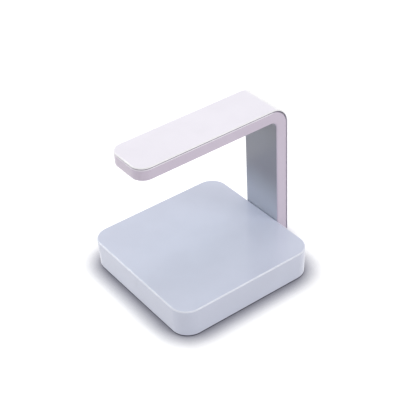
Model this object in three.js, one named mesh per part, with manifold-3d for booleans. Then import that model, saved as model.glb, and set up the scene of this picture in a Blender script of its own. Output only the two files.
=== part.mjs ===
// Desktop UV sanitizer for phones: a square base, a narrow C-shaped lamp arm, and all that they hold.
// Millimetres, +Z up, +X to the right. The open side faces -Y and the post stands behind the base at +Y.
import * as THREE from "three";
import { mergeVertices } from "three/addons/utils/BufferGeometryUtils.js";
import Module from "manifold-3d";

const wasm = await Module();
wasm.setup();

// Clearances and mesh fineness
const gap = 0.3; // between pieces that touch
const threadGap = 0.2; // round a screw's shank in the hole that holds it
const overrun = 1; // how far a cut runs past the surface it opens
const weld = 0.5; // how deep a boss or rib reaches into the wall that carries it
const mergeWithin = 1e-4;
const cornerSteps = 4;
const roundSides = 16;
const smallSides = 12;
const hexSides = 6;

// Base: its centre is x = y = 0 and its underside is z = 0
const base = {
  side: 120,
  height: 23,
  corner: 14,
  draft: 0.6, // how far each wall leans in at its foot
  wall: 2.2,
  deck: 2.2,
  edge: 1.2, // rounding round the deck
  edgeSteps: 3,
  floor: 2, // thickness of the bottom cover
  bossRadius: 3,
};
const foot = { radius: 5, thickness: 1.5, pocket: 1, inset: 14 };
const coverScrew = {
  radius: 1.3,
  length: 8,
  headRadius: 2.3,
  headHeight: 1.3,
  sink: 0.2,
  collarRadius: 4,
  collarHeight: 1.5,
  fromMiddle: 26,
  inset: 9,
};

// What lies inside the base
const battery = {
  width: 80,
  depth: 36,
  height: 8,
  corner: 3,
  edge: 1,
  clear: 1,
  rib: 1.2,
  ribHeight: 3,
  ribLength: 20,
};
const board = { thickness: 1.6, corner: 9, fromBattery: 6, fromWall: 0.9, pastHarness: 8, clear: 2 };
const boardScrew = {
  radius: 1,
  length: 6,
  headRadius: 2,
  headHeight: 1.4,
  inset: 4.5,
  besideSwitch: 11,
  fromNotch: 20,
};
const usb = { width: 8.9, height: 3.2, depth: 7.3, wall: 0.35, back: 0.8, recess: 0.2, fromEdge: 15 };
const usbTongue = { width: 6.6, thickness: 0.7, setBack: 0.7 };
const powerSwitch = { depth: 6, width: 6, height: 5, inset: 6, plungerRadius: 1.5, plungerTail: 3.2 };
const button = {
  width: 13,
  height: 6.5,
  flange: 1.5,
  flangeThickness: 0.9,
  proud: 0.2,
  travel: 0.8,
  edge: 0.4,
  edgeSteps: 2,
};
const statusLight = { radius: 1.5, flange: 0.8, beside: 14, recess: 0.1 };
const statusLed = { depth: 1.6, width: 3 };
const controller = { side: 7, height: 1, fromLeft: 27, fromFront: 26 };
const coil = { radius: 5, height: 4.5, fromLeft: 30, fromFront: 10 };
const tiltSwitch = { radius: 2.4, height: 8, fromLeft: 42, fromFront: 26 };
const connector = { width: 8, depth: 6, height: 5 };
const batteryPlug = { fromHarness: 9, fromFront: 8 };
const header = { fromNotch: 4 };
const batteryLead = { radius: 1, rise: 3.4, steps: 20 };

// Lamp arm and post
const arm = {
  clearHeight: 89.1, // deck to underside
  width: 37.5,
  tipSetback: 1.7, // how far the free end stays behind the base's front
  tipCorner: 10,
  bendOuter: 14,
  bendInner: 5,
  wall: 2,
  underWall: 1.8,
  coverWall: 1.2,
  foot: 0,
  headroom: 1.2,
};
const lampWindow = { length: 90, fromTip: 8, sideMargin: 5.75, corner: 4, ledge: 2, flange: 0.8 };
const reflector = { thickness: 1.2, holeRadius: 2.9, overlap: 0.4 };
const ledBoard = { thickness: 1, corner: 6, pastWindow: 10, sideClearance: 0.5 };
const led = { side: 3.5, height: 1, count: 4, pitch: 22, rowShare: 0.5 };
const ledScrew = {
  radius: 1,
  length: 3.2,
  headRadius: 1.9,
  headHeight: 1.1,
  bossRadius: 2,
  fromMiddle: 9,
  behindWindow: 5.3,
};
const harnessPlug = { width: 6, depth: 5, height: 2.2, fromEnd: 0.5 };
const postScrew = {
  radius: 1.5,
  length: 9,
  headRadius: 2.75,
  headHeight: 2,
  bossLength: 5,
  edgeClearance: 1,
  sideClearance: 1.75,
};
const hook = { thickness: 1.2, length: 8, depth: 4, pitch: 34, count: 3 };
const grommet = { holeRadius: 3.5, boreRadius: 1.7, flangeRadius: 4.6, flangeThickness: 1 };
const harness = { radius: 1, steps: 80, bendShares: [1 / 3, 1] };

// Places worked out from the sizes
const inside = base.side / 2 - base.draft - base.wall; // the walls' nearest reach to the middle
const under = base.height + arm.clearHeight;
const ledStack = [lampWindow.flange, reflector.thickness, ledBoard.thickness, harnessPlug.height];
const armRoom = ledStack.reduce((sum, layer) => sum + gap + layer, arm.headroom);
const armThickness = arm.underWall + armRoom + arm.coverWall;
const armTop = under + armThickness;
const postInner = base.side / 2 + gap;
const postBack = postInner + armThickness;
const tip = -base.side / 2 + arm.tipSetback;
const middle = base.height / 2; // height of the button, the harness hole and the light
const boardTop = middle - powerSwitch.height / 2 - gap;
const partsFloor = boardTop + gap; // what stands on the board
const flangeFace = -inside + gap; // the button's flange lies against the wall
const boardLeft = flangeFace + button.flangeThickness + button.travel + 2 * gap;
const boardRight = board.pastHarness;
const batteryFront = -base.side / 2 + coverScrew.inset + coverScrew.collarRadius + battery.clear;
const batteryBack = batteryFront + battery.depth;
const boardFront = batteryBack + board.fromBattery;
const boardBack = inside - board.fromWall;
const screwSeat = inside - gap; // heads of the post's screws bear here
const notchBack = base.side / 2 - coverScrew.inset - base.bossRadius - board.clear;
const postScrewX = arm.width / 2 - arm.wall - base.bossRadius - postScrew.sideClearance;
const notchSide = -(coverScrew.fromMiddle + coverScrew.collarRadius + board.clear);
const buttonY = boardFront + powerSwitch.inset;
const buttonPlace = [buttonY, middle];
const lightPlace = [buttonY + statusLight.beside, middle];
const usbX = boardLeft + usb.fromEdge;
const windowFront = tip + lampWindow.fromTip;
const windowBack = windowFront + lampWindow.length;
const windowHalf = arm.width / 2 - lampWindow.sideMargin;
const armFloor = under + arm.underWall;
const windowFlangeLow = armFloor + gap;
const reflectorLow = windowFlangeLow + lampWindow.flange + gap;
const ledBoardLow = reflectorLow + reflector.thickness + gap;
const ledBoardTop = ledBoardLow + ledBoard.thickness;
const ledBoardBack = windowBack + ledBoard.pastWindow;

// Materials, one for each finish
function paint(color, roughness, metalness = 0) {
  return new THREE.MeshStandardMaterial({ color, roughness, metalness });
}

const materials = {
  cover: paint(0xf0eef6, 0.3),
  frame: paint(0xd9d3e0, 0.35),
  base: paint(0xdfe4f2, 0.35),
  window: paint(0xc8f4ff, 0.2),
  rubber: paint(0x2b2b2e, 0.9),
  steel: paint(0xb9bcc2, 0.35, 1),
  circuit: paint(0x1f6b45, 0.6),
  chip: paint(0x1b1b1d, 0.5),
  contact: paint(0xefe9dc, 0.5),
  cell: paint(0x5a6a7c, 0.45),
  lead: paint(0x8b1f1f, 0.5),
  copper: paint(0x6b6258, 0.55),
  reflector: paint(0xf4f6f8, 0.15),
};

// A closed three.js geometry as a solid that can be joined and cut
function solidOf(geometry) {
  geometry.deleteAttribute("normal");
  geometry.deleteAttribute("uv");
  const merged = mergeVertices(geometry, mergeWithin);
  const vertProperties = merged.getAttribute("position").array;
  const triVerts = new Uint32Array(merged.index.array);
  return new wasm.Manifold(new wasm.Mesh({ numProp: 3, vertProperties, triVerts }));
}

// A solid as a named mesh
function piece(name, solid, material) {
  const { vertProperties, numProp, triVerts } = solid.getMesh();
  const indexed = new THREE.BufferGeometry();
  indexed.setAttribute("position", new THREE.BufferAttribute(vertProperties, numProp));
  indexed.setIndex(new THREE.BufferAttribute(triVerts, 1));
  const geometry = indexed.toNonIndexed();
  geometry.computeVertexNormals();
  const mesh = new THREE.Mesh(geometry, material);
  mesh.name = name;
  return mesh;
}

const joined = (solids) => solids.reduce((whole, next) => whole.add(next));
const without = (solid, cuts) => cuts.reduce((rest, cut) => rest.subtract(cut), solid);

// A box between two corners
function block(low, high) {
  const [sizeX, sizeY, sizeZ] = high.map((value, axis) => value - low[axis]);
  const geometry = new THREE.BoxGeometry(sizeX, sizeY, sizeZ);
  geometry.translate(...high.map((value, axis) => (value + low[axis]) / 2));
  return solidOf(geometry);
}

// A round bar between two points
function rod(radius, from, to, sides = smallSides) {
  const start = new THREE.Vector3(...from);
  const end = new THREE.Vector3(...to);
  const along = end.clone().sub(start);
  const geometry = new THREE.CylinderGeometry(radius, radius, along.length(), sides);
  const cylinderAxis = new THREE.Vector3(0, 1, 0);
  const turn = new THREE.Quaternion().setFromUnitVectors(cylinderAxis, along.clone().normalize());
  geometry.applyQuaternion(turn);
  geometry.translate(...start.add(end).multiplyScalar(0.5));
  return solidOf(geometry);
}

// A bar along X at a place in Y and Z, and one along Y at a place in X and Z
const barX = (radius, [y, z], from, to, sides) => rod(radius, [from, y, z], [to, y, z], sides);
const barY = (radius, [x, z], from, to, sides) => rod(radius, [x, from, z], [x, to, z], sides);

// Upright bars at several places in X and Y, between two heights
function uprights(places, radius, low, high, sides) {
  return places.map(([x, y]) => rod(radius, [x, y, low], [x, y, high], sides));
}

const alongX = new THREE.Vector3(1, 0, 0);
const alongY = new THREE.Vector3(0, 1, 0);
const alongZ = new THREE.Vector3(0, 0, 1);
const turns = {
  x: new THREE.Matrix4().makeBasis(alongY, alongZ, alongX),
  y: new THREE.Matrix4().makeBasis(alongX, alongZ, alongY.clone().negate()),
  z: new THREE.Matrix4(),
};

// An outline drawn out along an axis from a low place to a high one, with both ends rounded by an edge
function prism(outline, axis, low, high, { edge = 0, edgeSteps = 1 } = {}) {
  const geometry = new THREE.ExtrudeGeometry(outline, {
    depth: high - low - 2 * edge,
    curveSegments: cornerSteps,
    bevelEnabled: edge > 0,
    bevelThickness: edge,
    bevelSize: edge,
    bevelOffset: -edge,
    bevelSegments: edgeSteps,
  });
  geometry.translate(0, 0, edge);
  geometry.applyMatrix4(turns[axis]);
  const start = axis === "y" ? high : low;
  geometry.translate(...[alongX, alongY, alongZ].map((unit, at) => ("xyz"[at] === axis ? start : 0)));
  return solidOf(geometry);
}

// A rectangle with rounded corners about a centre
function roundedOutline(width, height, radius, [x, y] = [0, 0]) {
  const outline = new THREE.Shape();
  const right = x + width / 2 - radius;
  const left = x - width / 2 + radius;
  const upper = y + height / 2 - radius;
  const lower = y - height / 2 + radius;
  outline.absarc(right, upper, radius, 0, Math.PI / 2);
  outline.absarc(left, upper, radius, Math.PI / 2, Math.PI);
  outline.absarc(left, lower, radius, Math.PI, 1.5 * Math.PI);
  outline.absarc(right, lower, radius, 1.5 * Math.PI, 2 * Math.PI);
  outline.closePath();
  return outline;
}

// A rounded slot, wider than tall
const slotOutline = (width, height, centre) => roundedOutline(width, height, height / 2, centre);

// A tube of round section along a smooth curve through points
function tube(radius, points, steps) {
  const section = new THREE.Shape();
  section.absarc(0, 0, radius, 0, 2 * Math.PI);
  const route = points.map((point) => new THREE.Vector3(...point));
  const extrudePath = new THREE.CatmullRomCurve3(route, false, "centripetal");
  return solidOf(new THREE.ExtrudeGeometry(section, { extrudePath, steps, curveSegments: cornerSteps }));
}

// A cap screw with a hexagon socket, whose head bears on the seat and whose shank points in the direction
function screw({ radius, length, headRadius, headHeight }, seat, direction) {
  const at = (distance) => seat.map((value, axis) => value + distance * direction[axis]);
  const head = rod(headRadius, at(-headHeight), at(0));
  const shank = rod(radius, at(-weld), at(length));
  const socket = rod(headRadius / 2, at(-headHeight - overrun), at(-headHeight / 2), hexSides);
  return head.add(shank).subtract(socket);
}

// A rounded square block whose walls lean in towards the base's foot, kept above a height
function leaningBlock(inset, low, high, edge, edgeSteps) {
  const half = base.side / 2 - inset;
  const outline = roundedOutline(2 * half, 2 * half, base.corner - inset);
  const geometry = new THREE.ExtrudeGeometry(outline, {
    depth: high - low,
    curveSegments: cornerSteps,
    bevelEnabled: edge > 0,
    bevelThickness: edge,
    bevelSize: edge,
    bevelOffset: -edge,
    bevelSegments: edgeSteps,
  });
  geometry.translate(0, 0, low - edge);
  const position = geometry.getAttribute("position");
  for (let i = 0; i < position.count; i++) {
    const lean = (base.draft * (1 - position.getZ(i) / base.height)) / half;
    position.setXY(i, position.getX(i) * (1 - lean), position.getY(i) * (1 - lean));
  }
  const belowLow = block([-base.side, -base.side, low - 2 * edge - overrun], [base.side, base.side, low]);
  return edge > 0 ? solidOf(geometry).subtract(belowLow) : solidOf(geometry);
}

// How far the walls' outer faces stand from the middle at a height
const wallReach = (height) => base.side / 2 - base.draft * (1 - height / base.height);

// The four places that mirror one place in both directions
const fourfold = (x, y) => [[x, y], [-x, y], [-x, -y], [x, -y]];

const feetPlaces = fourfold(base.side / 2 - foot.inset, base.side / 2 - foot.inset);
const coverScrewPlaces = fourfold(coverScrew.fromMiddle, base.side / 2 - coverScrew.inset);
const boardScrewPlaces = [
  [boardLeft + boardScrew.inset, boardBack - boardScrew.inset],
  [boardLeft + boardScrew.besideSwitch, boardFront + boardScrew.inset],
  [boardRight - boardScrew.inset, boardFront + boardScrew.inset],
  [boardRight - boardScrew.inset, notchBack - boardScrew.fromNotch],
];
const postScrewPlaces = [
  [postScrewX, base.floor + postScrew.headRadius + postScrew.edgeClearance],
  [postScrewX, base.height - base.deck - postScrew.headRadius - postScrew.edgeClearance],
].flatMap(([x, z]) => [[x, z], [-x, z]]);

// Base shell: deck, walls, screw bosses and the openings in its walls
function baseShell() {
  const outer = leaningBlock(0, 0, base.height, base.edge, base.edgeSteps);
  const hollow = leaningBlock(base.wall, -overrun, base.height - base.deck, 0, 1);
  const deckUnder = base.height - base.deck + weld;
  const coverBossLow = base.floor + coverScrew.collarHeight + gap;
  const bosses = [
    ...uprights(coverScrewPlaces, base.bossRadius, coverBossLow, deckUnder, roundSides),
    ...uprights(boardScrewPlaces, base.bossRadius, partsFloor, deckUnder, roundSides),
  ];
  const pilotTop = base.height - base.deck;
  const pilots = [
    ...uprights(coverScrewPlaces, coverScrew.radius + threadGap, 0, pilotTop, smallSides),
    ...uprights(boardScrewPlaces, boardScrew.radius + threadGap, 0, pilotTop, smallSides),
  ];
  return without(joined([outer.subtract(hollow), ...bosses]), [...pilots, ...wallOpenings()]);
}

// Openings through the base's walls, for what passes them
function wallOpenings() {
  const outside = base.side / 2 + overrun;
  const within = inside - overrun;
  const usbHole = slotOutline(usb.width + 2 * gap, usb.height + 2 * gap, [usbX, partsFloor + usb.height / 2]);
  const buttonHole = slotOutline(button.width + 2 * gap, button.height + 2 * gap, buttonPlace);
  return [
    prism(usbHole, "y", within, outside),
    prism(buttonHole, "x", -outside, -within),
    barX(statusLight.radius + gap, lightPlace, -outside, -within, smallSides),
    barY(grommet.holeRadius, [0, middle], within, outside, roundSides),
    ...postScrewPlaces.map((place) => barY(postScrew.radius + gap, place, within, outside, smallSides)),
  ];
}

// Bottom cover: a plate inside the walls' foot, with screw collars, foot pockets and ribs round the battery
function bottomCover() {
  const plate = leaningBlock(base.wall + gap, 0, base.floor, 0, 1);
  const collarTop = base.floor + coverScrew.collarHeight;
  const collarLow = base.floor - weld;
  const collars = uprights(coverScrewPlaces, coverScrew.collarRadius, collarLow, collarTop, roundSides);
  const headSeat = coverScrew.sink + coverScrew.headHeight + gap;
  const holes = [
    ...uprights(coverScrewPlaces, coverScrew.radius + gap, -overrun, collarTop + overrun, smallSides),
    ...uprights(coverScrewPlaces, coverScrew.headRadius + gap, -overrun, headSeat, roundSides),
    ...uprights(feetPlaces, foot.radius + gap, -overrun, foot.pocket, roundSides),
  ];
  return without(joined([plate, ...collars, ...batteryRibs()]), holes);
}

// Four low ribs that keep the battery in its place
function batteryRibs() {
  const low = base.floor - weld;
  const high = base.floor + battery.ribHeight;
  const halfRib = battery.ribLength / 2;
  const side = battery.width / 2 + gap;
  const centre = (batteryFront + batteryBack) / 2;
  const front = batteryFront - gap;
  const back = batteryBack + gap;
  return [
    block([side, centre - halfRib, low], [side + battery.rib, centre + halfRib, high]),
    block([-side - battery.rib, centre - halfRib, low], [-side, centre + halfRib, high]),
    block([halfRib, front - battery.rib, low], [2 * halfRib, front, high]),
    block([halfRib, back, low], [2 * halfRib, back + battery.rib, high]),
  ];
}

function feet() {
  const top = foot.pocket - gap;
  const discs = uprights(feetPlaces, foot.radius, top - foot.thickness, top, roundSides);
  return discs.map((disc, i) => piece(`foot_${i + 1}`, disc, materials.rubber));
}

function coverScrews() {
  const seat = coverScrew.sink + coverScrew.headHeight;
  return coverScrewPlaces.map(([x, y], i) =>
    piece(`cover_screw_${i + 1}`, screw(coverScrew, [x, y, seat], [0, 0, 1]), materials.steel),
  );
}

// Battery: a flat pack with rounded corners
function batteryPack() {
  const centre = [0, (batteryFront + batteryBack) / 2];
  const outline = roundedOutline(battery.width, battery.depth, battery.corner, centre);
  const low = base.floor + gap;
  return prism(outline, "z", low, low + battery.height, { edge: battery.edge, edgeSteps: 2 });
}

// Circuit board, stepped back clear of the cover screw's boss and the post's screws
function mainBoard() {
  const outline = new THREE.Shape();
  outline.moveTo(boardLeft, boardFront);
  outline.lineTo(boardRight, boardFront);
  outline.lineTo(boardRight, notchBack);
  outline.lineTo(notchSide, notchBack);
  outline.lineTo(notchSide, boardBack);
  outline.absarc(boardLeft + board.corner, boardBack - board.corner, board.corner, Math.PI / 2, Math.PI);
  outline.closePath();
  const low = boardTop - board.thickness;
  const holeTop = boardTop + overrun;
  const holes = uprights(boardScrewPlaces, boardScrew.radius + gap, low - overrun, holeTop, smallSides);
  return without(prism(outline, "z", low, boardTop), holes);
}

function boardScrews() {
  const seat = boardTop - board.thickness - gap;
  return boardScrewPlaces.map(([x, y], i) =>
    piece(`board_screw_${i + 1}`, screw(boardScrew, [x, y, seat], [0, 0, 1]), materials.steel),
  );
}

// A box that stands on the board about a centre
function onBoard([x, y], width, depth, height) {
  const low = [x - width / 2, y - depth / 2, partsFloor];
  return block(low, [low[0] + width, low[1] + depth, low[2] + height]);
}

// Parts soldered on the board
function boardParts() {
  const coilPlace = [boardLeft + coil.fromLeft, boardFront + coil.fromFront];
  const tiltPlace = [boardLeft + tiltSwitch.fromLeft, boardFront + tiltSwitch.fromFront];
  const chipPlace = [boardLeft + controller.fromLeft, boardFront + controller.fromFront];
  const [coilCan] = uprights([coilPlace], coil.radius, partsFloor, partsFloor + coil.height, roundSides);
  const tiltTop = partsFloor + tiltSwitch.height;
  const [tiltCan] = uprights([tiltPlace], tiltSwitch.radius, partsFloor, tiltTop, roundSides);
  const chip = onBoard(chipPlace, controller.side, controller.side, controller.height);
  const { width, depth, height } = connector;
  return [
    piece("controller_chip", chip, materials.chip),
    piece("boost_coil", coilCan, materials.copper),
    piece("tilt_switch", tiltCan, materials.steel),
    piece("battery_plug", onBoard(batteryPlugPlace(), width, depth, height), materials.contact),
    piece("harness_header", onBoard(headerPlace(), width, depth, height), materials.contact),
    piece("status_led", statusLedBody(), materials.contact),
  ];
}

const batteryPlugPlace = () => [-batteryPlug.fromHarness, boardFront + batteryPlug.fromFront];
const headerPlace = () => [0, notchBack - header.fromNotch - connector.depth / 2];

function statusLedBody() {
  const centre = [boardLeft + statusLed.depth / 2, lightPlace[0]];
  return onBoard(centre, statusLed.depth, statusLed.width, middle + statusLight.radius - partsFloor);
}

// Charging socket: a stamped shell open to the rear, and the tongue inside it
function usbSocket() {
  const centre = [usbX, partsFloor + usb.height / 2];
  const mouth = wallReach(0) - usb.recess;
  const shell = prism(slotOutline(usb.width, usb.height, centre), "y", mouth - usb.depth, mouth);
  const mouthOutline = slotOutline(usb.width - 2 * usb.wall, usb.height - 2 * usb.wall, centre);
  const bottom = mouth - usb.depth + usb.back;
  const hollow = prism(mouthOutline, "y", bottom, mouth + overrun);
  const halfTongue = usbTongue.width / 2;
  const halfThick = usbTongue.thickness / 2;
  const tongue = block(
    [centre[0] - halfTongue, bottom + gap, centre[1] - halfThick],
    [centre[0] + halfTongue, mouth - usbTongue.setBack, centre[1] + halfThick],
  );
  return [
    piece("usb_c_socket", shell.subtract(hollow), materials.steel),
    piece("usb_c_tongue", tongue, materials.chip),
  ];
}

// Side-acting push switch: its body has a bore for the plunger's tail and travel
function pushSwitch() {
  const centre = [boardLeft + powerSwitch.depth / 2, buttonY];
  const body = onBoard(centre, powerSwitch.depth, powerSwitch.width, powerSwitch.height);
  const tailEnd = boardLeft + powerSwitch.plungerTail;
  const boreEnd = tailEnd + button.travel + gap;
  const bore = barX(powerSwitch.plungerRadius + gap, buttonPlace, boardLeft - overrun, boreEnd, roundSides);
  return body.subtract(bore);
}

// The button and the plunger that it pushes: both travel along +X
function buttonGroup() {
  const face = -wallReach(middle) - button.proud;
  const flangeInner = flangeFace + button.flangeThickness;
  const cap = prism(slotOutline(button.width, button.height, buttonPlace), "x", face, flangeInner, {
    edge: button.edge,
    edgeSteps: button.edgeSteps,
  });
  const spread = 2 * button.flange;
  const flangeOutline = slotOutline(button.width + spread, button.height + spread, buttonPlace);
  const flange = prism(flangeOutline, "x", flangeFace, flangeInner);
  const tail = boardLeft + powerSwitch.plungerTail;
  const plunger = barX(powerSwitch.plungerRadius, buttonPlace, flangeInner + gap, tail, roundSides);
  const group = new THREE.Group();
  group.add(piece("power_button", cap.add(flange), materials.frame));
  group.add(piece("switch_plunger", plunger, materials.contact));
  return group;
}

// Light pipe through the wall beside the button
function lightPipe() {
  const flangeInner = flangeFace + button.flangeThickness;
  const outer = statusLight.recess - wallReach(middle);
  const stem = barX(statusLight.radius, lightPlace, outer, flangeInner, smallSides);
  const flangeRadius = statusLight.radius + statusLight.flange;
  const flange = barX(flangeRadius, lightPlace, flangeFace, flangeInner, smallSides);
  return stem.add(flange);
}

// Lead from the battery's rear face, up past the board's edge and into its plug
function batteryLeadTube() {
  const [x, plugY] = batteryPlugPlace();
  const start = base.floor + gap + battery.height / 2;
  const end = partsFloor + connector.height / 2;
  const plugFace = plugY - connector.depth / 2 - gap;
  const from = batteryBack + gap;
  const rise = (from + boardFront) / 2 - batteryLead.radius / 2;
  const straight = 2 * batteryLead.radius;
  return tube(
    batteryLead.radius,
    [
      [x, from, start],
      [x, from + straight / 2, start],
      [x, rise, start + batteryLead.rise],
      [x, plugFace - straight, end],
      [x, plugFace, end],
    ],
    batteryLead.steps,
  );
}

// The arm and post seen from the side, in Y and Z, with each of its sides moved in by its own distance
function armProfile({ inner = 0, lower = inner, outer = 0, front = 0, bottom = 0 }) {
  const outline = new THREE.Shape();
  const bendCentre = [postBack - arm.bendOuter, armTop - arm.bendOuter];
  const cornerCentre = [postInner - arm.bendInner, under - arm.bendInner];
  outline.moveTo(postInner + inner, arm.foot + bottom);
  outline.lineTo(postBack - outer, arm.foot + bottom);
  outline.absarc(...bendCentre, arm.bendOuter - outer, 0, Math.PI / 2);
  outline.lineTo(tip + front, armTop - outer);
  outline.lineTo(tip + front, under + lower);
  outline.lineTo(cornerCentre[0], under + lower);
  outline.absellipse(...cornerCentre, arm.bendInner + inner, arm.bendInner + lower, Math.PI / 2, 0, true);
  outline.closePath();
  return outline;
}

// The arm's plan, square at the back and rounded at its free end, as a tall prism moved in by a distance
function armPlan(inset) {
  const half = arm.width / 2 - inset;
  const radius = arm.tipCorner - inset;
  const front = tip + inset + radius;
  const outline = new THREE.Shape();
  outline.moveTo(half, postBack + overrun);
  outline.lineTo(-half, postBack + overrun);
  outline.absarc(-half + radius, front, radius, Math.PI, 1.5 * Math.PI);
  outline.absarc(half - radius, front, radius, 1.5 * Math.PI, 2 * Math.PI);
  outline.closePath();
  return prism(outline, "z", arm.foot - overrun, armTop + overrun);
}

// A side profile drawn across the arm and trimmed to its plan
function armSolid(profile, inset = 0) {
  return prism(profile, "x", -arm.width / 2, arm.width / 2).intersect(armPlan(inset));
}

// Frame of the arm and post: both side walls, the face towards the base, the underside and both ends
function armFrame() {
  const skin = arm.coverWall + gap;
  const body = armSolid(armProfile({ outer: skin }));
  const cavity = armSolid(
    armProfile({ inner: arm.wall, lower: arm.underWall, outer: -overrun, front: arm.wall, bottom: arm.wall }),
    arm.wall,
  );
  const window = prism(windowOutline(0), "z", under - overrun, armFloor + overrun);
  const postWall = postInner + arm.wall;
  const bossEnd = postWall + postScrew.bossLength;
  const pilotEnd = screwSeat + postScrew.length + gap;
  const postBosses = postScrewPlaces.map((place) =>
    barY(base.bossRadius, place, postWall - weld, bossEnd, roundSides),
  );
  const postPilots = postScrewPlaces.map((place) =>
    barY(postScrew.radius + threadGap, place, postInner - overrun, pilotEnd, smallSides),
  );
  const lampPlaces = ledScrewPlaces();
  const lampBossTop = ledBoardLow - gap;
  const lampBosses = uprights(lampPlaces, ledScrew.bossRadius, armFloor - weld, lampBossTop, roundSides);
  const pilotLow = ledBoardTop - ledScrew.length;
  const lampPilots = uprights(lampPlaces, ledScrew.radius + threadGap, pilotLow, ledBoardTop, smallSides);
  const passage = barY(grommet.holeRadius, [0, middle], postInner - overrun, postWall + overrun, roundSides);
  const shell = joined([body.subtract(cavity), ...postBosses, ...lampBosses]);
  return without(shell, [window, passage, ...postPilots, ...lampPilots]);
}

// Top and back skin of the arm, bent over in one piece, with hooks that reach inside the frame's walls
function armCover() {
  const past = -overrun;
  const rest = armProfile({ inner: past, outer: arm.coverWall, front: past, bottom: past });
  const skin = armSolid(armProfile({})).subtract(prism(rest, "x", -arm.width, arm.width));
  const outerX = arm.width / 2 - arm.wall - gap;
  const underSkin = armTop - arm.coverWall;
  const beforeSkin = postBack - arm.coverWall;
  const places = Array.from({ length: hook.count }, (_, i) => (i + 0.5) * hook.pitch);
  const onTop = places.map((along) => [
    [postInner - along - hook.length, underSkin - hook.depth],
    [postInner - along, underSkin + weld],
  ]);
  const onBack = places.map((along) => [
    [beforeSkin - hook.depth, under - along - hook.length],
    [beforeSkin + weld, under - along],
  ]);
  const hooks = [...onTop, ...onBack].flatMap(([low, high]) => [
    block([outerX - hook.thickness, ...low], [outerX, ...high]),
    block([-outerX, ...low], [hook.thickness - outerX, ...high]),
  ]);
  return joined([skin, ...hooks]);
}

// The lamp window's outline, grown by a distance
function windowOutline(grow) {
  const centre = [0, (windowFront + windowBack) / 2];
  const length = lampWindow.length + 2 * grow;
  return roundedOutline(2 * (windowHalf + grow), length, lampWindow.corner + grow, centre);
}

// Window: a clear plate flush with the underside, on a ledge inside
function windowPlate() {
  const top = windowFlangeLow + lampWindow.flange;
  const plug = prism(windowOutline(-gap), "z", under, top);
  const ledge = prism(windowOutline(lampWindow.ledge), "z", windowFlangeLow, top);
  return plug.add(ledge);
}

// Centres of the lamps, in two rows along the window
function ledPlaces() {
  const centre = (windowFront + windowBack) / 2;
  const x = windowHalf * led.rowShare;
  const first = centre - ((led.count - 1) / 2) * led.pitch;
  const along = Array.from({ length: led.count }, (_, i) => first + i * led.pitch);
  return along.flatMap((y) => [[-x, y], [x, y]]);
}

const ledScrewPlaces = () => [
  [0, windowFront - lampWindow.ledge - ledScrew.bossRadius],
  [-ledScrew.fromMiddle, windowBack + ledScrew.behindWindow],
  [ledScrew.fromMiddle, windowBack + ledScrew.behindWindow],
];

function reflectorPlate() {
  const top = reflectorLow + reflector.thickness;
  const plate = prism(windowOutline(reflector.overlap), "z", reflectorLow, top);
  const holes = uprights(ledPlaces(), reflector.holeRadius, reflectorLow - overrun, ledBoardLow, roundSides);
  return without(plate, holes);
}

// Board above the reflector, with a lamp under it at each of the reflector's holes
function ledBoardPlate() {
  const front = tip + arm.wall + gap;
  const half = arm.width / 2 - arm.wall - gap - hook.thickness - ledBoard.sideClearance;
  const centre = [0, (front + ledBoardBack) / 2];
  const outline = roundedOutline(2 * half, ledBoardBack - front, ledBoard.corner, centre);
  const holes = uprights(ledScrewPlaces(), ledScrew.radius + gap, reflectorLow, armTop, smallSides);
  return without(prism(outline, "z", ledBoardLow, ledBoardTop), holes);
}

function leds() {
  const high = ledBoardLow - gap;
  const half = led.side / 2;
  return ledPlaces().map(([x, y], i) => {
    const body = block([x - half, y - half, high - led.height], [x + half, y + half, high]);
    return piece(`uv_led_${i + 1}`, body, materials.contact);
  });
}

function ledScrews() {
  const seat = ledBoardTop + gap;
  return ledScrewPlaces().map(([x, y], i) =>
    piece(`led_board_screw_${i + 1}`, screw(ledScrew, [x, y, seat], [0, 0, -1]), materials.steel),
  );
}

function harnessPlugBody() {
  const half = harnessPlug.width / 2;
  const back = ledBoardBack - harnessPlug.fromEnd;
  const low = ledBoardTop + gap;
  return block([-half, back - harnessPlug.depth, low], [half, back, low + harnessPlug.height]);
}

// Lamp harness: from its plug over the bend, down the post and through the grommet to the header
function harnessTube() {
  const plugFace = ledBoardBack - harnessPlug.fromEnd + gap;
  const plugHeight = ledBoardTop + gap + harnessPlug.height / 2;
  const headerFace = headerPlace()[1] + connector.depth / 2 + gap;
  const headerHeight = partsFloor + connector.height / 2;
  const down = (postInner + arm.wall + postBack - arm.coverWall) / 2;
  const bend = arm.bendOuter - arm.coverWall;
  const [shortShare, fullShare] = harness.bendShares;
  const turnCentre = [postInner + arm.wall, middle + down - postInner - arm.wall];
  const turn = down - turnCentre[0];
  const diagonal = turn * Math.SQRT1_2;
  const straight = 2 * harness.radius;
  return tube(
    harness.radius,
    [
      [0, plugFace, plugHeight],
      [0, plugFace + straight, plugHeight],
      [0, down - bend * fullShare, plugHeight - harness.radius / 2],
      [0, down - bend * shortShare, plugHeight - bend * shortShare],
      [0, down, plugHeight - bend * fullShare],
      [0, down, (under + middle) / 2],
      [0, down, turnCentre[1] + turn],
      [0, down, turnCentre[1]],
      [0, turnCentre[0] + diagonal, turnCentre[1] - diagonal],
      [0, turnCentre[0], middle],
      [0, screwSeat - straight, middle],
      [0, headerFace + straight, headerHeight],
      [0, headerFace, headerHeight],
    ],
    harness.steps,
  );
}

// Rubber grommet through the base's rear wall and the post's face, with its flange inside the base
function grommetRing() {
  const end = postInner + arm.wall;
  const start = screwSeat - grommet.flangeThickness;
  const place = [0, middle];
  const sleeve = barY(grommet.holeRadius - gap, place, start, end, roundSides);
  const flange = barY(grommet.flangeRadius, place, start, screwSeat, roundSides);
  const bore = barY(grommet.boreRadius, place, start - overrun, end + overrun, smallSides);
  return sleeve.add(flange).subtract(bore);
}

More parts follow.
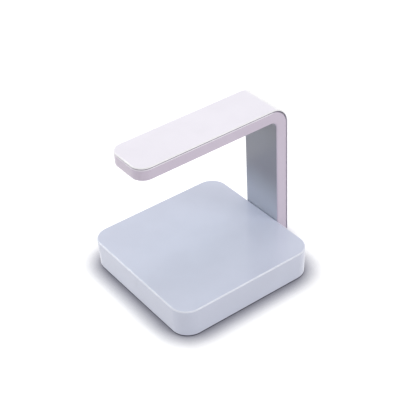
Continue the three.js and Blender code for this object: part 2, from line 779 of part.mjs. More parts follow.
function postScrews() {
  return postScrewPlaces.map(([x, z], i) =>
    piece(`post_screw_${i + 1}`, screw(postScrew, [x, screwSeat, z], [0, 1, 0]), materials.steel),
  );
}

// The base and what it holds
function baseGroup() {
  const group = new THREE.Group();
  group.add(
    piece("base_shell", baseShell(), materials.base),
    piece("base_bottom_cover", bottomCover(), materials.base),
    ...feet(),
    ...coverScrews(),
    piece("battery_pack", batteryPack(), materials.cell),
    piece("main_board", mainBoard(), materials.circuit),
    ...boardScrews(),
    ...boardParts(),
    ...usbSocket(),
    piece("push_switch", pushSwitch(), materials.chip),
    buttonGroup(),
    piece("status_light_pipe", lightPipe(), materials.window),
    piece("battery_lead", batteryLeadTube(), materials.lead),
  );
  return group;
}

// The post and arm and what they hold
function armGroup() {
  const group = new THREE.Group();
  group.add(
    piece("arm_frame", armFrame(), materials.frame),
    piece("arm_cover", armCover(), materials.cover),
    ...postScrews(),
    piece("harness_grommet", grommetRing(), materials.rubber),
    piece("lamp_window", windowPlate(), materials.window),
    piece("lamp_reflector", reflectorPlate(), materials.reflector),
    ...leds(),
    piece("led_board", ledBoardPlate(), materials.circuit),
    ...ledScrews(),
    piece("harness_plug", harnessPlugBody(), materials.contact),
    piece("lamp_harness", harnessTube(), materials.chip),
  );
  return group;
}

// The whole object stands on its feet, centred over the origin
const sanitizer = new THREE.Group();
sanitizer.name = "uv_sanitizer";
sanitizer.add(baseGroup(), armGroup());
sanitizer.position.set(0, -(postBack - base.side / 2) / 2, foot.thickness - foot.pocket + gap);
sanitizer.updateMatrixWorld(true);

export default sanitizer;
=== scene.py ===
"""Desktop UV sanitizer for phones: a square base and a narrow lamp arm that bends up and over it.

Metres, +Z up. The open side faces -Y, the post stands behind the base at +Y, and +X is to the right.
"""

import logging
import math
from abc import ABC, abstractmethod
from collections.abc import Callable, Iterator, Mapping, Sequence
from dataclasses import dataclass
from enum import Enum
from typing import NamedTuple

import bmesh
import bpy
from mathutils import Color, Matrix, Vector


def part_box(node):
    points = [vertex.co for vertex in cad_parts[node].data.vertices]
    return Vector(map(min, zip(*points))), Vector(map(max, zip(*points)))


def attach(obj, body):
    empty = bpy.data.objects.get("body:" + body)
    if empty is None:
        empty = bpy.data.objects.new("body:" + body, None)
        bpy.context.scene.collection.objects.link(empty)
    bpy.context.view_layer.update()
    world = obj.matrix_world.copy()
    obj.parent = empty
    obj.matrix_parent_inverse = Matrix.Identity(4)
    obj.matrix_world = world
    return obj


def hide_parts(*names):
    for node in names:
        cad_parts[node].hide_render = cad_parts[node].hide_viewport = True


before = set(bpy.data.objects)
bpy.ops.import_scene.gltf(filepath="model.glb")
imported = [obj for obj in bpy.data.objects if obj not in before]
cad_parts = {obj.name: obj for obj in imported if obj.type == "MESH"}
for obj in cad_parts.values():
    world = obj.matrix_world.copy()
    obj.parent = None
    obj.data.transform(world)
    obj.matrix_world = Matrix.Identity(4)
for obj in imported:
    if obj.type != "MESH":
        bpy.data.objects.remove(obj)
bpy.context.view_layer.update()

MM = 0.001
NEAR = 0.01 * MM  # places closer than this are the same place
OVERRUN = 1.0 * MM  # how far a cut runs past the surface it opens
GAP = 0.3 * MM  # between pieces that sit in or on each other
ROUND_SIDES = 48
SMALL_SIDES = 24
HEX_SIDES = 6
SHARP = math.radians(50)  # an edge that turns more than this is a corner
CREASE = math.radians(35)  # shading breaks at edges that turn more than this
SQUARE_ON = math.cos(math.radians(5))  # a face that turns less than this from a direction looks that way
FLAT_WEIGHT = 100  # how far wide faces stay flat next to their roundings

LOG = logging.getLogger("uv_sanitizer")

Socket = bpy.types.NodeSocket
Node = bpy.types.Node
Points = list[bmesh.types.BMVert]
Edges = list[bmesh.types.BMEdge]
Faces = list[bmesh.types.BMFace]
Place = Callable[[Vector], bool]
Box = tuple[Vector, Vector]
Span = tuple[float, float]
Inputs = Mapping[str | int, object]


class Rounding(NamedTuple):
    """The radius of a rounded edge, and how many facets it has."""

    radius: float
    steps: int


class Body(Enum):
    """The bodies that pieces ride on."""

    SANITIZER = "sanitizer"
    BUTTON = "button"


class Axis(Enum):
    """The three directions of the frame."""

    X = 0
    Y = 1
    Z = 2

    def unit(self) -> Vector:
        """The unit vector along the axis."""
        return Vector([float(i == self.value) for i in range(3)])

    def others(self) -> tuple[int, int]:
        """The numbers of the two other axes."""
        first, second = (i for i in range(3) if i != self.value)
        return first, second


def linked(name: str, data: bpy.types.ID) -> bpy.types.Object:
    """Puts a mesh, light or camera into the scene as a new object.

    Args:
        name: The object's name.
        data: What it holds.

    Returns:
        The object.
    """
    made = bpy.data.objects.new(name, data)
    bpy.context.scene.collection.objects.link(made)
    return made


def extent_of(node: str) -> tuple[Vector, Vector, Vector]:
    """The lowest corner, the middle and the highest corner of a CAD node's box."""
    low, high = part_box(node)
    return low, (low + high) / 2, high


def centre_of(node: str) -> Vector:
    """The middle of a CAD node's box."""
    return extent_of(node)[1]


def numbered(stem: str) -> list[str]:
    """The names of the CAD nodes that share a stem and differ in their number, in order."""
    return sorted(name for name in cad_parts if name.startswith(stem))


def moved(point: Vector, axis: Axis, value: float) -> Vector:
    """A point with one of its coordinates replaced."""
    return Vector([value if i == axis.value else point[i] for i in range(3)])


def cube(side: float) -> Vector:
    """The size of something that measures the same along all axes."""
    return Vector((side, side, side))


def level(axis: Axis, place: float) -> Place:
    """A test for what lies at one place along an axis."""
    return lambda at: abs(at[axis.value] - place) < NEAR


def linear(code: str) -> tuple[float, float, float, float]:
    """The linear colour, with an alpha of 1, of six hexadecimal digits that say how it looks on a screen."""
    shown = Color([channel / 255 for channel in bytes.fromhex(code)])
    return (*shown.from_srgb_to_scene_linear(), 1.0)


class Workpiece:
    """A mesh that is shaped with bmesh operators before it becomes an object."""

    def __init__(self) -> None:
        """Starts with an empty mesh."""
        self.bm = bmesh.new()

    @classmethod
    def block(cls, low: Vector, high: Vector) -> "Workpiece":
        """Makes a box.

        Args:
            low: Its lowest corner.
            high: Its highest corner.

        Returns:
            The new workpiece.
        """
        piece = cls()
        place = Matrix.LocRotScale((low + high) / 2, None, high - low)
        bmesh.ops.create_cube(piece.bm, size=1.0, matrix=place)
        return piece

    @classmethod
    def rod(
        cls, radius: float, at: Vector, axis: Axis, start: float, end: float, sides: int = ROUND_SIDES
    ) -> "Workpiece":
        """Makes a round bar, or a bar with few sides.

        Args:
            radius: Its radius.
            at: A place on its middle line.
            axis: The axis that it follows.
            start: Where its lower end is along the axis.
            end: Where its higher end is.
            sides: How many flats go round it.

        Returns:
            The new workpiece.
        """
        piece = cls()
        turn = Axis.Z.unit().rotation_difference(axis.unit()).to_matrix().to_4x4()
        centre = Matrix.Translation(moved(at, axis, (start + end) / 2))
        ends = {"radius1": radius, "radius2": radius, "depth": end - start, "segments": sides}
        bmesh.ops.create_cone(piece.bm, cap_ends=True, cap_tris=False, matrix=centre @ turn, **ends)
        return piece

    @classmethod
    def prism(cls, outline: Sequence[Vector], along: Vector) -> "Workpiece":
        """Draws a flat outline out into a solid.

        Args:
            outline: The corners of the outline, in order.
            along: How far and in which direction it is drawn out.

        Returns:
            The new workpiece.
        """
        piece = cls()
        face = piece.bm.faces.new([piece.bm.verts.new(point) for point in outline])
        piece.extrude([face], along, keep=True)
        return piece.face_outwards()

    @classmethod
    def slot(cls, low: Vector, high: Vector, axis: Axis, radius: float, steps: int = 12) -> "Workpiece":
        """Makes a box whose edges along one axis are rounded.

        Args:
            low: Its lowest corner.
            high: Its highest corner.
            axis: The axis that the rounded edges follow.
            radius: The radius of the rounding, kept just under half the narrower width.
            steps: How many facets each rounding has.

        Returns:
            The new workpiece.
        """
        piece = cls.block(low, high)
        most = min((high - low)[i] for i in axis.others()) / 2 - NEAR
        return piece.round(piece.edges_along(axis), Rounding(min(radius, most), steps))

    def edges_along(self, axis: Axis, test: Place = lambda middle: True) -> Edges:
        """Picks the straight edges that follow an axis.

        Args:
            axis: The axis.
            test: Says whether an edge with this middle is wanted.

        Returns:
            The edges.
        """
        found = []
        for edge in self.bm.edges:
            start, end = (vert.co for vert in edge.verts)
            if all(abs((end - start)[i]) < NEAR for i in axis.others()) and test((start + end) / 2):
                found.append(edge)
        return found

    def sharp_edges(self, test: Place = lambda middle: True) -> Edges:
        """Picks the edges where two faces meet at a corner, if the test takes their middle."""
        sharp = (edge for edge in self.bm.edges if edge.calc_face_angle(0.0) > SHARP)
        return [edge for edge in sharp if test((edge.verts[0].co + edge.verts[1].co) / 2)]

    def faces_towards(self, direction: Vector, test: Place = lambda middle: True) -> Faces:
        """Picks the faces that look in a direction, if the test takes their middle."""
        self.bm.normal_update()
        return [f for f in self.bm.faces if f.normal @ direction > SQUARE_ON and test(f.calc_center_median())]

    def round(self, edges: Edges, rounding: Rounding) -> "Workpiece":
        """Rounds edges.

        Args:
            edges: The edges.
            rounding: How they are rounded.

        Returns:
            The same workpiece.
        """
        bmesh.ops.bevel(
            self.bm, geom=edges, affect="EDGES", offset=rounding.radius, offset_type="OFFSET",
            segments=rounding.steps, profile=0.5, clamp_overlap=False, material=-1,
        )
        bmesh.ops.remove_doubles(self.bm, verts=self.bm.verts[:], dist=NEAR)
        self.bm.normal_update()
        return self

    def round_end(self, axis: Axis, place: float, rounding: Rounding) -> "Workpiece":
        """Rounds the corners that lie at one place along an axis."""
        return self.round(self.sharp_edges(level(axis, place)), rounding)

    def extrude(self, faces: Faces, along: Vector, keep: bool = False) -> Points:
        """Draws faces out of the solid, or pushes them in.

        Args:
            faces: The faces.
            along: How far and in which direction they go.
            keep: Whether they also stay where they were, as an outline does.

        Returns:
            The points of the moved faces.
        """
        made = bmesh.ops.extrude_face_region(self.bm, geom=faces)
        ends = [item for item in made["geom"] if isinstance(item, bmesh.types.BMVert)]
        bmesh.ops.translate(self.bm, vec=along, verts=ends)
        if not keep:
            bmesh.ops.delete(self.bm, geom=faces, context="FACES")
        self.bm.normal_update()
        return ends

    def inset(self, faces: Faces, margin: float, depth: float = 0.0) -> None:
        """Sets a smaller outline into faces.

        Args:
            faces: The faces, which keep the middle of the area.
            margin: How far inside their rim the new outline lies.
            depth: How far the middle is raised, or sunk where it is negative.
        """
        even = {"use_boundary": True, "use_even_offset": True}
        bmesh.ops.inset_region(self.bm, faces=faces, thickness=margin, depth=depth, **even)
        self.bm.normal_update()

    def scale(self, verts: Points, centre: Vector, factors: Vector) -> None:
        """Scales points about a centre, by a factor for each axis."""
        bmesh.ops.scale(self.bm, vec=factors, space=Matrix.Translation(-centre), verts=verts)

    def face_outwards(self) -> "Workpiece":
        """Turns every face to the outside and returns the workpiece."""
        bmesh.ops.recalc_face_normals(self.bm, faces=self.bm.faces[:])
        return self

    def cut(self, *tools: "Workpiece") -> "Workpiece":
        """Cuts other workpieces out of this one and returns it."""
        return self._combine(tools, "DIFFERENCE")

    def join(self, *others: "Workpiece") -> "Workpiece":
        """Joins other workpieces to this one and returns it."""
        return self._combine(others, "UNION")

    def _combine(self, tools: Sequence["Workpiece"], operation: str) -> "Workpiece":
        """Joins or cuts with each of the others in turn.

        Args:
            tools: The others, which are used up.
            operation: The operation's name.

        Returns:
            The same workpiece.
        """
        for tool in tools:
            stock = self.as_object()
            cutter = tool.as_object()
            modifier = stock.modifiers.new("combine", "BOOLEAN")
            modifier.operation = operation
            modifier.solver = "EXACT"
            modifier.object = cutter
            graph = bpy.context.evaluated_depsgraph_get()
            made = bpy.data.meshes.new_from_object(stock.evaluated_get(graph))
            self.bm = bmesh.new()
            self.bm.from_mesh(made)
            for mesh in (stock.data, cutter.data, made):
                bpy.data.meshes.remove(mesh)
        bmesh.ops.remove_doubles(self.bm, verts=self.bm.verts[:], dist=NEAR / 10)
        self.bm.normal_update()
        return self

    def as_object(self, name: str = "bench") -> bpy.types.Object:
        """Turns the mesh into an object of the scene and frees the bmesh.

        Args:
            name: The object's name.

        Returns:
            The object.
        """
        mesh = bpy.data.meshes.new(name)
        self.bm.to_mesh(mesh)
        self.bm.free()
        return linked(name, mesh)

    def finish(self, name: str) -> bpy.types.Object:
        """Makes the finished object, with smooth shading that breaks at its corners.

        Args:
            name: The piece's name.

        Returns:
            The object.
        """
        made = self.face_outwards().as_object(name)
        made.data.polygons.foreach_set("use_smooth", [True] * len(made.data.polygons))
        made.data.set_sharp_from_angle(angle=CREASE)
        weighted = made.modifiers.new("flat_faces_stay_flat", "WEIGHTED_NORMAL")
        weighted.keep_sharp = True
        weighted.weight = FLAT_WEIGHT
        return made


@dataclass(frozen=True)
class Opening:
    """A hole through a wall, with a small chamfer where it meets the outer face."""

    axis: Axis
    centre: Vector
    size: Vector  # its width and height, along the two other axes
    radius: float = math.inf  # of its corners, which are no rounder than its width allows
    chamfer: float = 0.25 * MM

    def cutter(self, inner: float, face: float) -> Workpiece:
        """Makes the solid that cuts the hole.

        Args:
            inner: Where the cutter starts, inside the wall, along the axis.
            face: Where the wall's outer face is, along the axis.

        Returns:
            The cutter.
        """
        outwards = math.copysign(1.0, face - inner)
        start, end = sorted((inner, face - outwards * self.chamfer))
        low = moved(self.centre - self.size / 2, self.axis, start)
        high = moved(self.centre + self.size / 2, self.axis, end)
        tool = Workpiece.slot(low, high, self.axis, self.radius)
        ahead = self.axis.unit() * outwards
        flare = self.chamfer + OVERRUN
        rim = tool.extrude(tool.faces_towards(ahead), ahead * flare)
        factors = Vector((1.0, 1.0, 1.0))
        for i in self.axis.others():
            factors[i] += 2 * flare / self.size[i]
        tool.scale(rim, self.centre, factors)
        return tool.face_outwards()


@dataclass(frozen=True)
class Noise:
    """A soft noise on a surface."""

    scale: float  # features to a metre
    detail: float  # finer layers
    roughness: float = 0.5  # how strong the finer layers are
    span: Span = (0.0, 1.0)  # what is kept of it where it makes spots


class Sheet:
    """Adds nodes to a node tree and links them."""

    def __init__(self, tree: bpy.types.NodeTree) -> None:
        """Takes the tree to work on."""
        self.tree = tree

    @classmethod
    def blank(cls, owner: bpy.types.Material | bpy.types.World) -> "Sheet":
        """Clears the nodes of a material or world.

        Args:
            owner: The material or world.

        Returns:
            Its empty sheet.
        """
        owner.use_nodes = True
        owner.node_tree.nodes.clear()
        return cls(owner.node_tree)

    def add(self, kind: str, inputs: Inputs | None = None, **settings: object) -> Node:
        """Adds a node.

        Args:
            kind: The node's type, without the leading ShaderNode.
            inputs: Values or sockets for its inputs.
            settings: The node's own settings.

        Returns:
            The node.
        """
        node = self.tree.nodes.new(kind if kind.startswith("NodeGroup") else "ShaderNode" + kind)
        for name, value in settings.items():
            setattr(node, name, value)
        for name, value in (inputs or {}).items():
            self.feed(node.inputs[name], value)
        return node

    def feed(self, target: Socket, value: object) -> None:
        """Links a socket to an input, or sets the input's value.

        Args:
            target: The input.
            value: The value or socket.
        """
        if isinstance(value, bpy.types.NodeSocket):
            self.tree.links.new(value, target)
        else:
            target.default_value = value

    def place(self) -> Socket:
        """The place on the piece."""
        return self.add("TexCoord").outputs["Object"]

    def split(self, vector: Socket) -> bpy.types.bpy_prop_collection:
        """The X, Y and Z of a vector."""
        return self.add("SeparateXYZ", {0: vector}).outputs

    def up(self) -> Socket:
        """How far a face looks up, from -1 to 1."""
        return self.split(self.add("NewGeometry").outputs["Normal"])["Z"]

    def math(self, operation: str, *values: object, clamp: bool = False) -> Socket:
        """Adds a sum on numbers, whose result stays from 0 to 1 if it is clamped."""
        return self.add("Math", dict(enumerate(values)), operation=operation, use_clamp=clamp).outputs[0]

    def times(self, vector: Socket, factors: Vector) -> Socket:
        """Multiplies a vector or colour by a factor for each of its parts."""
        return self.add("VectorMath", {0: vector, 1: factors}, operation="MULTIPLY").outputs["Vector"]

    def square_sum(self, first: Socket, second: Socket) -> Socket:
        """Adds up the squares of two numbers."""
        return self.math("ADD", *(self.math("MULTIPLY", side, side) for side in (first, second)))

    def noise(self, place: Socket, noise: Noise, scale: object = None) -> Socket:
        """Adds a noise about 0.5, with another scale than its own if one is given."""
        own = {"Scale": scale or noise.scale, "Detail": noise.detail, "Roughness": noise.roughness}
        return self.add("TexNoise", {"Vector": place, **own}, noise_dimensions="3D").outputs[0]

    def spots(self, place: Socket, noise: Noise, scale: object = None, to: Span = (0.0, 1.0)) -> Socket:
        """Adds a noise whose span is stretched to a new range."""
        return self.remap(self.noise(place, noise, scale), noise.span, to)

    def remap(self, value: Socket, span: Span, to: Span = (0.0, 1.0)) -> Socket:
        """Stretches a range of values to another, and stops at its ends.

        Args:
            value: The value.
            span: The range, as what becomes the ends of the other.
            to: The other range.

        Returns:
            The new value.
        """
        names = ("Value", "From Min", "From Max", "To Min", "To Max")
        inputs = dict(zip(names, (value, *span, *to)))
        return self.add("MapRange", inputs, interpolation_type="SMOOTHSTEP").outputs[0]

    def mix(self, share: object, first: object, second: object) -> Socket:
        """Mixes two colours.

        Args:
            share: How much there is of the second.
            first: The first colour.
            second: The second colour.

        Returns:
            The mixture.
        """
        node = self.add("Mix", data_type="RGBA")
        for name, value in (("Factor_Float", share), ("A_Color", first), ("B_Color", second)):
            self.feed(next(s for s in node.inputs if s.identifier == name), value)
        return next(s for s in node.outputs if s.identifier == "Result_Color")

    def group(self, effect: "Effect", inputs: Inputs) -> bpy.types.bpy_prop_collection:
        """Places an effect with its own values and returns its outputs."""
        return self.add("Group", inputs, node_tree=effect.tree()).outputs

    def bump(self, height: Socket, depth: float) -> Socket:
        """The normal of a surface that is raised by a height from 0 to 1, where 1 is a depth in metres."""
        return self.add("Bump", {"Strength": 1.0, "Distance": depth, "Height": height}).outputs["Normal"]


class Effect(ABC):
    """A surface effect that several finishes share, built once as a node group."""

    name = "effect"
    inputs: Inputs = {}
    outputs: tuple[str, ...] = ()

    def tree(self) -> bpy.types.NodeTree:
        """Builds the group the first time it is asked for.

        Returns:
            The group.
        """
        built = bpy.data.node_groups.get(self.name)
        if built:
            return built
        tree = bpy.data.node_groups.new(self.name, "ShaderNodeTree")
        for way, names in (("INPUT", self.inputs), ("OUTPUT", self.outputs)):
            for name in names:
                kind = "NodeSocketColor" if name.endswith("Color") else "NodeSocketFloat"
                socket = tree.interface.new_socket(name, in_out=way, socket_type=kind)
                if way == "INPUT":
                    socket.default_value = self.inputs[name]
        sheet = Sheet(tree)
        given = sheet.add("NodeGroupInput").outputs
        sheet.add("NodeGroupOutput", self.wire(sheet, given))
        return tree

    @abstractmethod
    def wire(self, sheet: Sheet, given: bpy.types.bpy_prop_collection) -> Inputs:
        """Wires the group and returns the socket for each output."""


class MouldGrain(Effect):
    """The skin of a moulding: a fine grain on slow waves, and a mottle as wide as a finger."""

    grain = Noise(4000.0, 2.0, 0.6)
    wave = Noise(180.0, 1.0)
    mottle = Noise(35.0, 3.0, span=(0.35, 0.65))
    name = "mould_grain"
    inputs = {
        "Grain Scale": grain.scale,
        "Wave Scale": wave.scale,
        "Grain Share": 0.5,
        "Mottle Scale": mottle.scale,
    }
    outputs = ("Height", "Mottle")

    def wire(self, sheet: Sheet, given: bpy.types.bpy_prop_collection) -> Inputs:
        """Wires the group.

        Args:
            sheet: The group's nodes.
            given: The group's inputs.

        Returns:
            The socket for each output.
        """
        place = sheet.place()
        grain = sheet.noise(place, self.grain, given["Grain Scale"])
        wave = sheet.noise(place, self.wave, given["Wave Scale"])
        fine = sheet.math("MULTIPLY", grain, given["Grain Share"])
        slow = sheet.math("MULTIPLY", wave, sheet.math("SUBTRACT", 1.0, given["Grain Share"]))
        mottle = sheet.spots(place, self.mottle, given["Mottle Scale"])
        return {"Height": sheet.math("ADD", fine, slow), "Mottle": mottle}


class HandledTone(Effect):
    """Colour and gloss of a surface that is handled: a slow change of tone and faint, duller finger marks."""

    marks = Noise(90.0, 4.0, 0.65, (0.45, 0.7))
    name = "handled_tone"
    inputs = {
        "Color": (0.8, 0.8, 0.8, 1.0),
        "Shade Color": (0.7, 0.7, 0.7, 1.0),
        "Mottle": 0.5,
        "Roughness": 0.3,
        "Spread": 0.06,
        "Mark Scale": marks.scale,
    }
    outputs = ("Color", "Roughness")

    def wire(self, sheet: Sheet, given: bpy.types.bpy_prop_collection) -> Inputs:
        """Wires the group.

        Args:
            sheet: The group's nodes.
            given: The group's inputs.

        Returns:
            The socket for each output.
        """
        marks = sheet.spots(sheet.place(), self.marks, given["Mark Scale"])
        duller = sheet.math("MULTIPLY", marks, given["Spread"])
        return {
            "Color": sheet.mix(given["Mottle"], given["Color"], given["Shade Color"]),
            "Roughness": sheet.math("ADD", given["Roughness"], duller, clamp=True),
        }


class SettledDust(Effect):
    """Fine dust that lies on faces which look up, thin and uneven."""

    lying: Span = (0.3, 0.9)  # from faces too steep for dust to faces that hold it
    specks = Noise(1400.0, 3.0, 0.7, (0.5, 0.72))
    patches = Noise(45.0, 2.0, span=(0.4, 0.7))
    dulling = 0.6
    name = "settled_dust"
    inputs = {
        "Color": (0.8, 0.8, 0.8, 1.0),
        "Dust Color": (0.6, 0.58, 0.55, 1.0),
        "Roughness": 0.3,
        "Amount": 0.1,
    }
    outputs = ("Color", "Roughness")

    def wire(self, sheet: Sheet, given: bpy.types.bpy_prop_collection) -> Inputs:
        """Wires the group.

        Args:
            sheet: The group's nodes.
            given: The group's inputs.

        Returns:
            The socket for each output.
        """
        place = sheet.place()
        lying = sheet.remap(sheet.up(), self.lying)
        specks = sheet.math("MULTIPLY", lying, sheet.spots(place, self.specks))
        dust = sheet.math("MULTIPLY", specks, sheet.spots(place, self.patches))
        share = sheet.math("MULTIPLY", dust, given["Amount"], clamp=True)
        dull = sheet.math("MULTIPLY", share, self.dulling)
        return {
            "Color": sheet.mix(share, given["Color"], given["Dust Color"]),
            "Roughness": sheet.math("ADD", given["Roughness"], dull, clamp=True),
        }


class PaintedRimHighlight(Effect):
    """A painted highlight: a paler tone on rounded edges that look up and out, uneven along them."""

    turned_up: Span = (0.02, 0.2)  # from walls to roundings
    flat: Span = (0.93, 0.985)  # from roundings to flat tops
    uneven = Noise(160.0, 3.0, span=(0.25, 0.55))
    # the weakest share of the painted highlight along an edge
    faintest_share = 0.7
    name = "painted_rim_highlight"
    inputs = {"Color": (0.8, 0.8, 0.8, 1.0), "Edge Color": (0.9, 0.9, 0.9, 1.0)}
    outputs = ("Color",)

    def wire(self, sheet: Sheet, given: bpy.types.bpy_prop_collection) -> Inputs:
        """Wires the group.

        Args:
            sheet: The group's nodes.
            given: The group's inputs.

        Returns:
            The socket for each output.
        """
        up = sheet.up()
        not_flat = sheet.remap(up, self.flat, (1.0, 0.0))
        rounded = sheet.math("MULTIPLY", sheet.remap(up, self.turned_up), not_flat)
        uneven = sheet.spots(sheet.place(), self.uneven, to=(self.faintest_share, 1.0))
        share = sheet.math("MULTIPLY", rounded, uneven)
        return {"Color": sheet.mix(share, given["Color"], given["Edge Color"])}


@dataclass(frozen=True)
class Finish(ABC):
    """What a surface is made of and how it is finished."""

    slot: str
    colour: str
    shade: str
    roughness: float

    def material(self) -> bpy.types.Material:
        """Builds the material the first time it is asked for.

        Returns:
            The material.
        """
        title = self.slot + "_surface"
        made = bpy.data.materials.get(title)
        if not made:
            made = bpy.data.materials.new(title)
            sheet = Sheet.blank(made)
            shader = sheet.add("BsdfPrincipled", self.wire(sheet))
            sheet.add("OutputMaterial", {"Surface": shader.outputs[0]})
        return made

    @abstractmethod
    def wire(self, sheet: Sheet) -> Inputs:
        """Wires what changes over the surface and returns the shader's inputs."""

    def toned(self, sheet: Sheet, mottle: Socket, spread: float, mark_scale: float = 90.0) -> Inputs:
        """Places the tone that all finishes start from.

        Args:
            sheet: The material's nodes.
            mottle: Where the shade colour lies.
            spread: How much duller finger marks are.
            mark_scale: How many marks there are to a metre.

        Returns:
            The base colour and the roughness.
        """
        inputs = {
            "Color": linear(self.colour),
            "Shade Color": linear(self.shade),
            "Mottle": mottle,
            "Roughness": self.roughness,
            "Spread": spread,
            "Mark Scale": mark_scale,
        }
        tone = sheet.group(HandledTone(), inputs)
        return {"Base Color": tone["Color"], "Roughness": tone["Roughness"]}


@dataclass(frozen=True)
class Moulding(Finish):
    """A moulded plastic with a fine grain."""

    grain: float = 0.22 * MM
    wave: float = 5.0 * MM
    depth: float = 0.005 * MM
    grain_share: float = 0.6
    spread: float = 0.025
    dust: float = 0.03
    ior: float = 1.5
    coat: float = 0.0
    coat_roughness: float = 0.16
    glow: str = "FFFFFF"
    glow_strength: float = 0.0
    # the colour of a painted highlight on rounded edges, none where empty
    edge: str = ""

    def wire(self, sheet: Sheet) -> Inputs:
        """Wires grain, tone and dust.

        Args:
            sheet: The material's nodes.

        Returns:
            The shader's inputs.
        """
        sizes = {"Grain Scale": 1 / self.grain, "Wave Scale": 1 / self.wave, "Grain Share": self.grain_share}
        grain = sheet.group(MouldGrain(), sizes)
        tone = self.toned(sheet, grain["Mottle"], self.spread)
        colour = self.add_painted_light(sheet, tone["Base Color"])
        on_top = {"Color": colour, "Roughness": tone["Roughness"], "Amount": self.dust}
        dust = sheet.group(SettledDust(), on_top)
        return {
            "Base Color": dust["Color"],
            "Roughness": dust["Roughness"],
            "Normal": sheet.bump(grain["Height"], self.depth),
            "IOR": self.ior,
            "Coat Weight": self.coat,
            "Coat Roughness": self.coat_roughness,
            "Emission Color": linear(self.glow),
            "Emission Strength": self.glow_strength,
        }

    def add_painted_light(self, sheet: Sheet, colour: Socket) -> Socket:
        """Adds the painted highlight on rounded edges, where the moulding has one.

        Args:
            sheet: The material's nodes.
            colour: The colour of the flat faces.

        Returns:
            The colour, with the painted highlight on the rounded edges where the moulding has one.
        """
        if not self.edge:
            return colour
        return sheet.group(PaintedRimHighlight(), {"Color": colour, "Edge Color": linear(self.edge)})["Color"]


@dataclass(frozen=True)
class ArmMoulding(Moulding):
    """The arm's moulding, with painted shade on its side towards the base, deepest high up at the bend, and
    along the seam.
    """

    # painted shade on the faces towards the base, from its high colour at the bend to its low colour further
    # down
    painted_shade_high: str = "84848F"
    painted_shade_low: str = "B6BCCB"
    painted_shade_heights: Span = (30.0 * MM, 68.0 * MM)
    painted_shade_depth: float = 0.12 * MM
    # painted shade on the lips either side of the seam
    painted_seam_shade: str = "A49BAB"
    painted_seam_reach: float = 0.22 * MM

    def add_painted_light(self, sheet: Sheet, colour: Socket) -> Socket:
        """Paints shade on the faces that follow the inside of the bend, deeper higher up, and on the lips of
        the seam.

        Args:
            sheet: The material's nodes.
            colour: The colour of the other faces.

        Returns:
            The colour with the painted shade.
        """
        arm = LampArm()
        parts = sheet.split(sheet.place())
        # painted shade on the faces round the inside of the bend, deeper the higher they are
        inside = self.beyond_bend(sheet, parts, arm.inner, arm.under, arm.bend_inner)
        share = sheet.remap(inside, (self.painted_shade_depth / 2, self.painted_shade_depth), (1.0, 0.0))
        rise = sheet.remap(parts["Z"], self.painted_shade_heights)
        darker = sheet.mix(rise, linear(self.painted_shade_low), linear(self.painted_shade_high))
        toned = super().add_painted_light(sheet, sheet.mix(share, colour, darker))
        # painted shade on the lips either side of the seam
        outside = self.beyond_bend(sheet, parts, arm.frame_high.y, arm.frame_high.z, arm.bend_outer)
        painted_seam_share = sheet.remap(outside, (-self.painted_seam_reach, -self.painted_seam_reach / 2))
        return sheet.mix(painted_seam_share, toned, linear(self.painted_seam_shade))

    def beyond_bend(
        self, sheet: Sheet, parts: bpy.types.bpy_prop_collection, back: float, top: float, radius: float
    ) -> Socket:
        """Measures how far a place lies beyond a surface that goes up the post and bends forwards.

        Args:
            sheet: The material's nodes.
            parts: The place's coordinates.
            back: Where the surface is on the post.
            top: Where it is on the arm.
            radius: Its radius at the bend.

        Returns:
            The distance, which is negative on the other side.
        """
        backwards = sheet.math("MAXIMUM", sheet.math("SUBTRACT", parts["Y"], back - radius), 0.0)
        upwards = sheet.math("MAXIMUM", sheet.math("SUBTRACT", parts["Z"], top - radius), 0.0)
        return sheet.math("SUBTRACT", sheet.math("SQRT", sheet.square_sum(backwards, upwards)), radius)


@dataclass(frozen=True)
class Metal(Finish):
    """A plated or drawn metal with fine marks along one axis."""

    lay: Axis = Axis.Z
    mark: float = 0.08 * MM
    stretch: float = 0.06
    depth: float = 0.002 * MM
    spread: float = 0.12
    wear_scale: float = 400.0
    slow: Noise = Noise(220.0, 2.0, span=(0.35, 0.65))

    def wire(self, sheet: Sheet) -> Inputs:
        """Wires drawn marks and a slow change of tone.

        Args:
            sheet: The material's nodes.

        Returns:
            The shader's inputs.
        """
        place = sheet.place()
        drawn = sheet.times(place, moved(cube(1.0), self.lay, self.stretch))
        marks = sheet.noise(drawn, Noise(1 / self.mark, detail=3.0, roughness=0.6))
        tone = self.toned(sheet, sheet.spots(place, self.slow), self.spread, self.wear_scale)
        return {**tone, "Metallic": 1.0, "Normal": sheet.bump(marks, self.depth)}


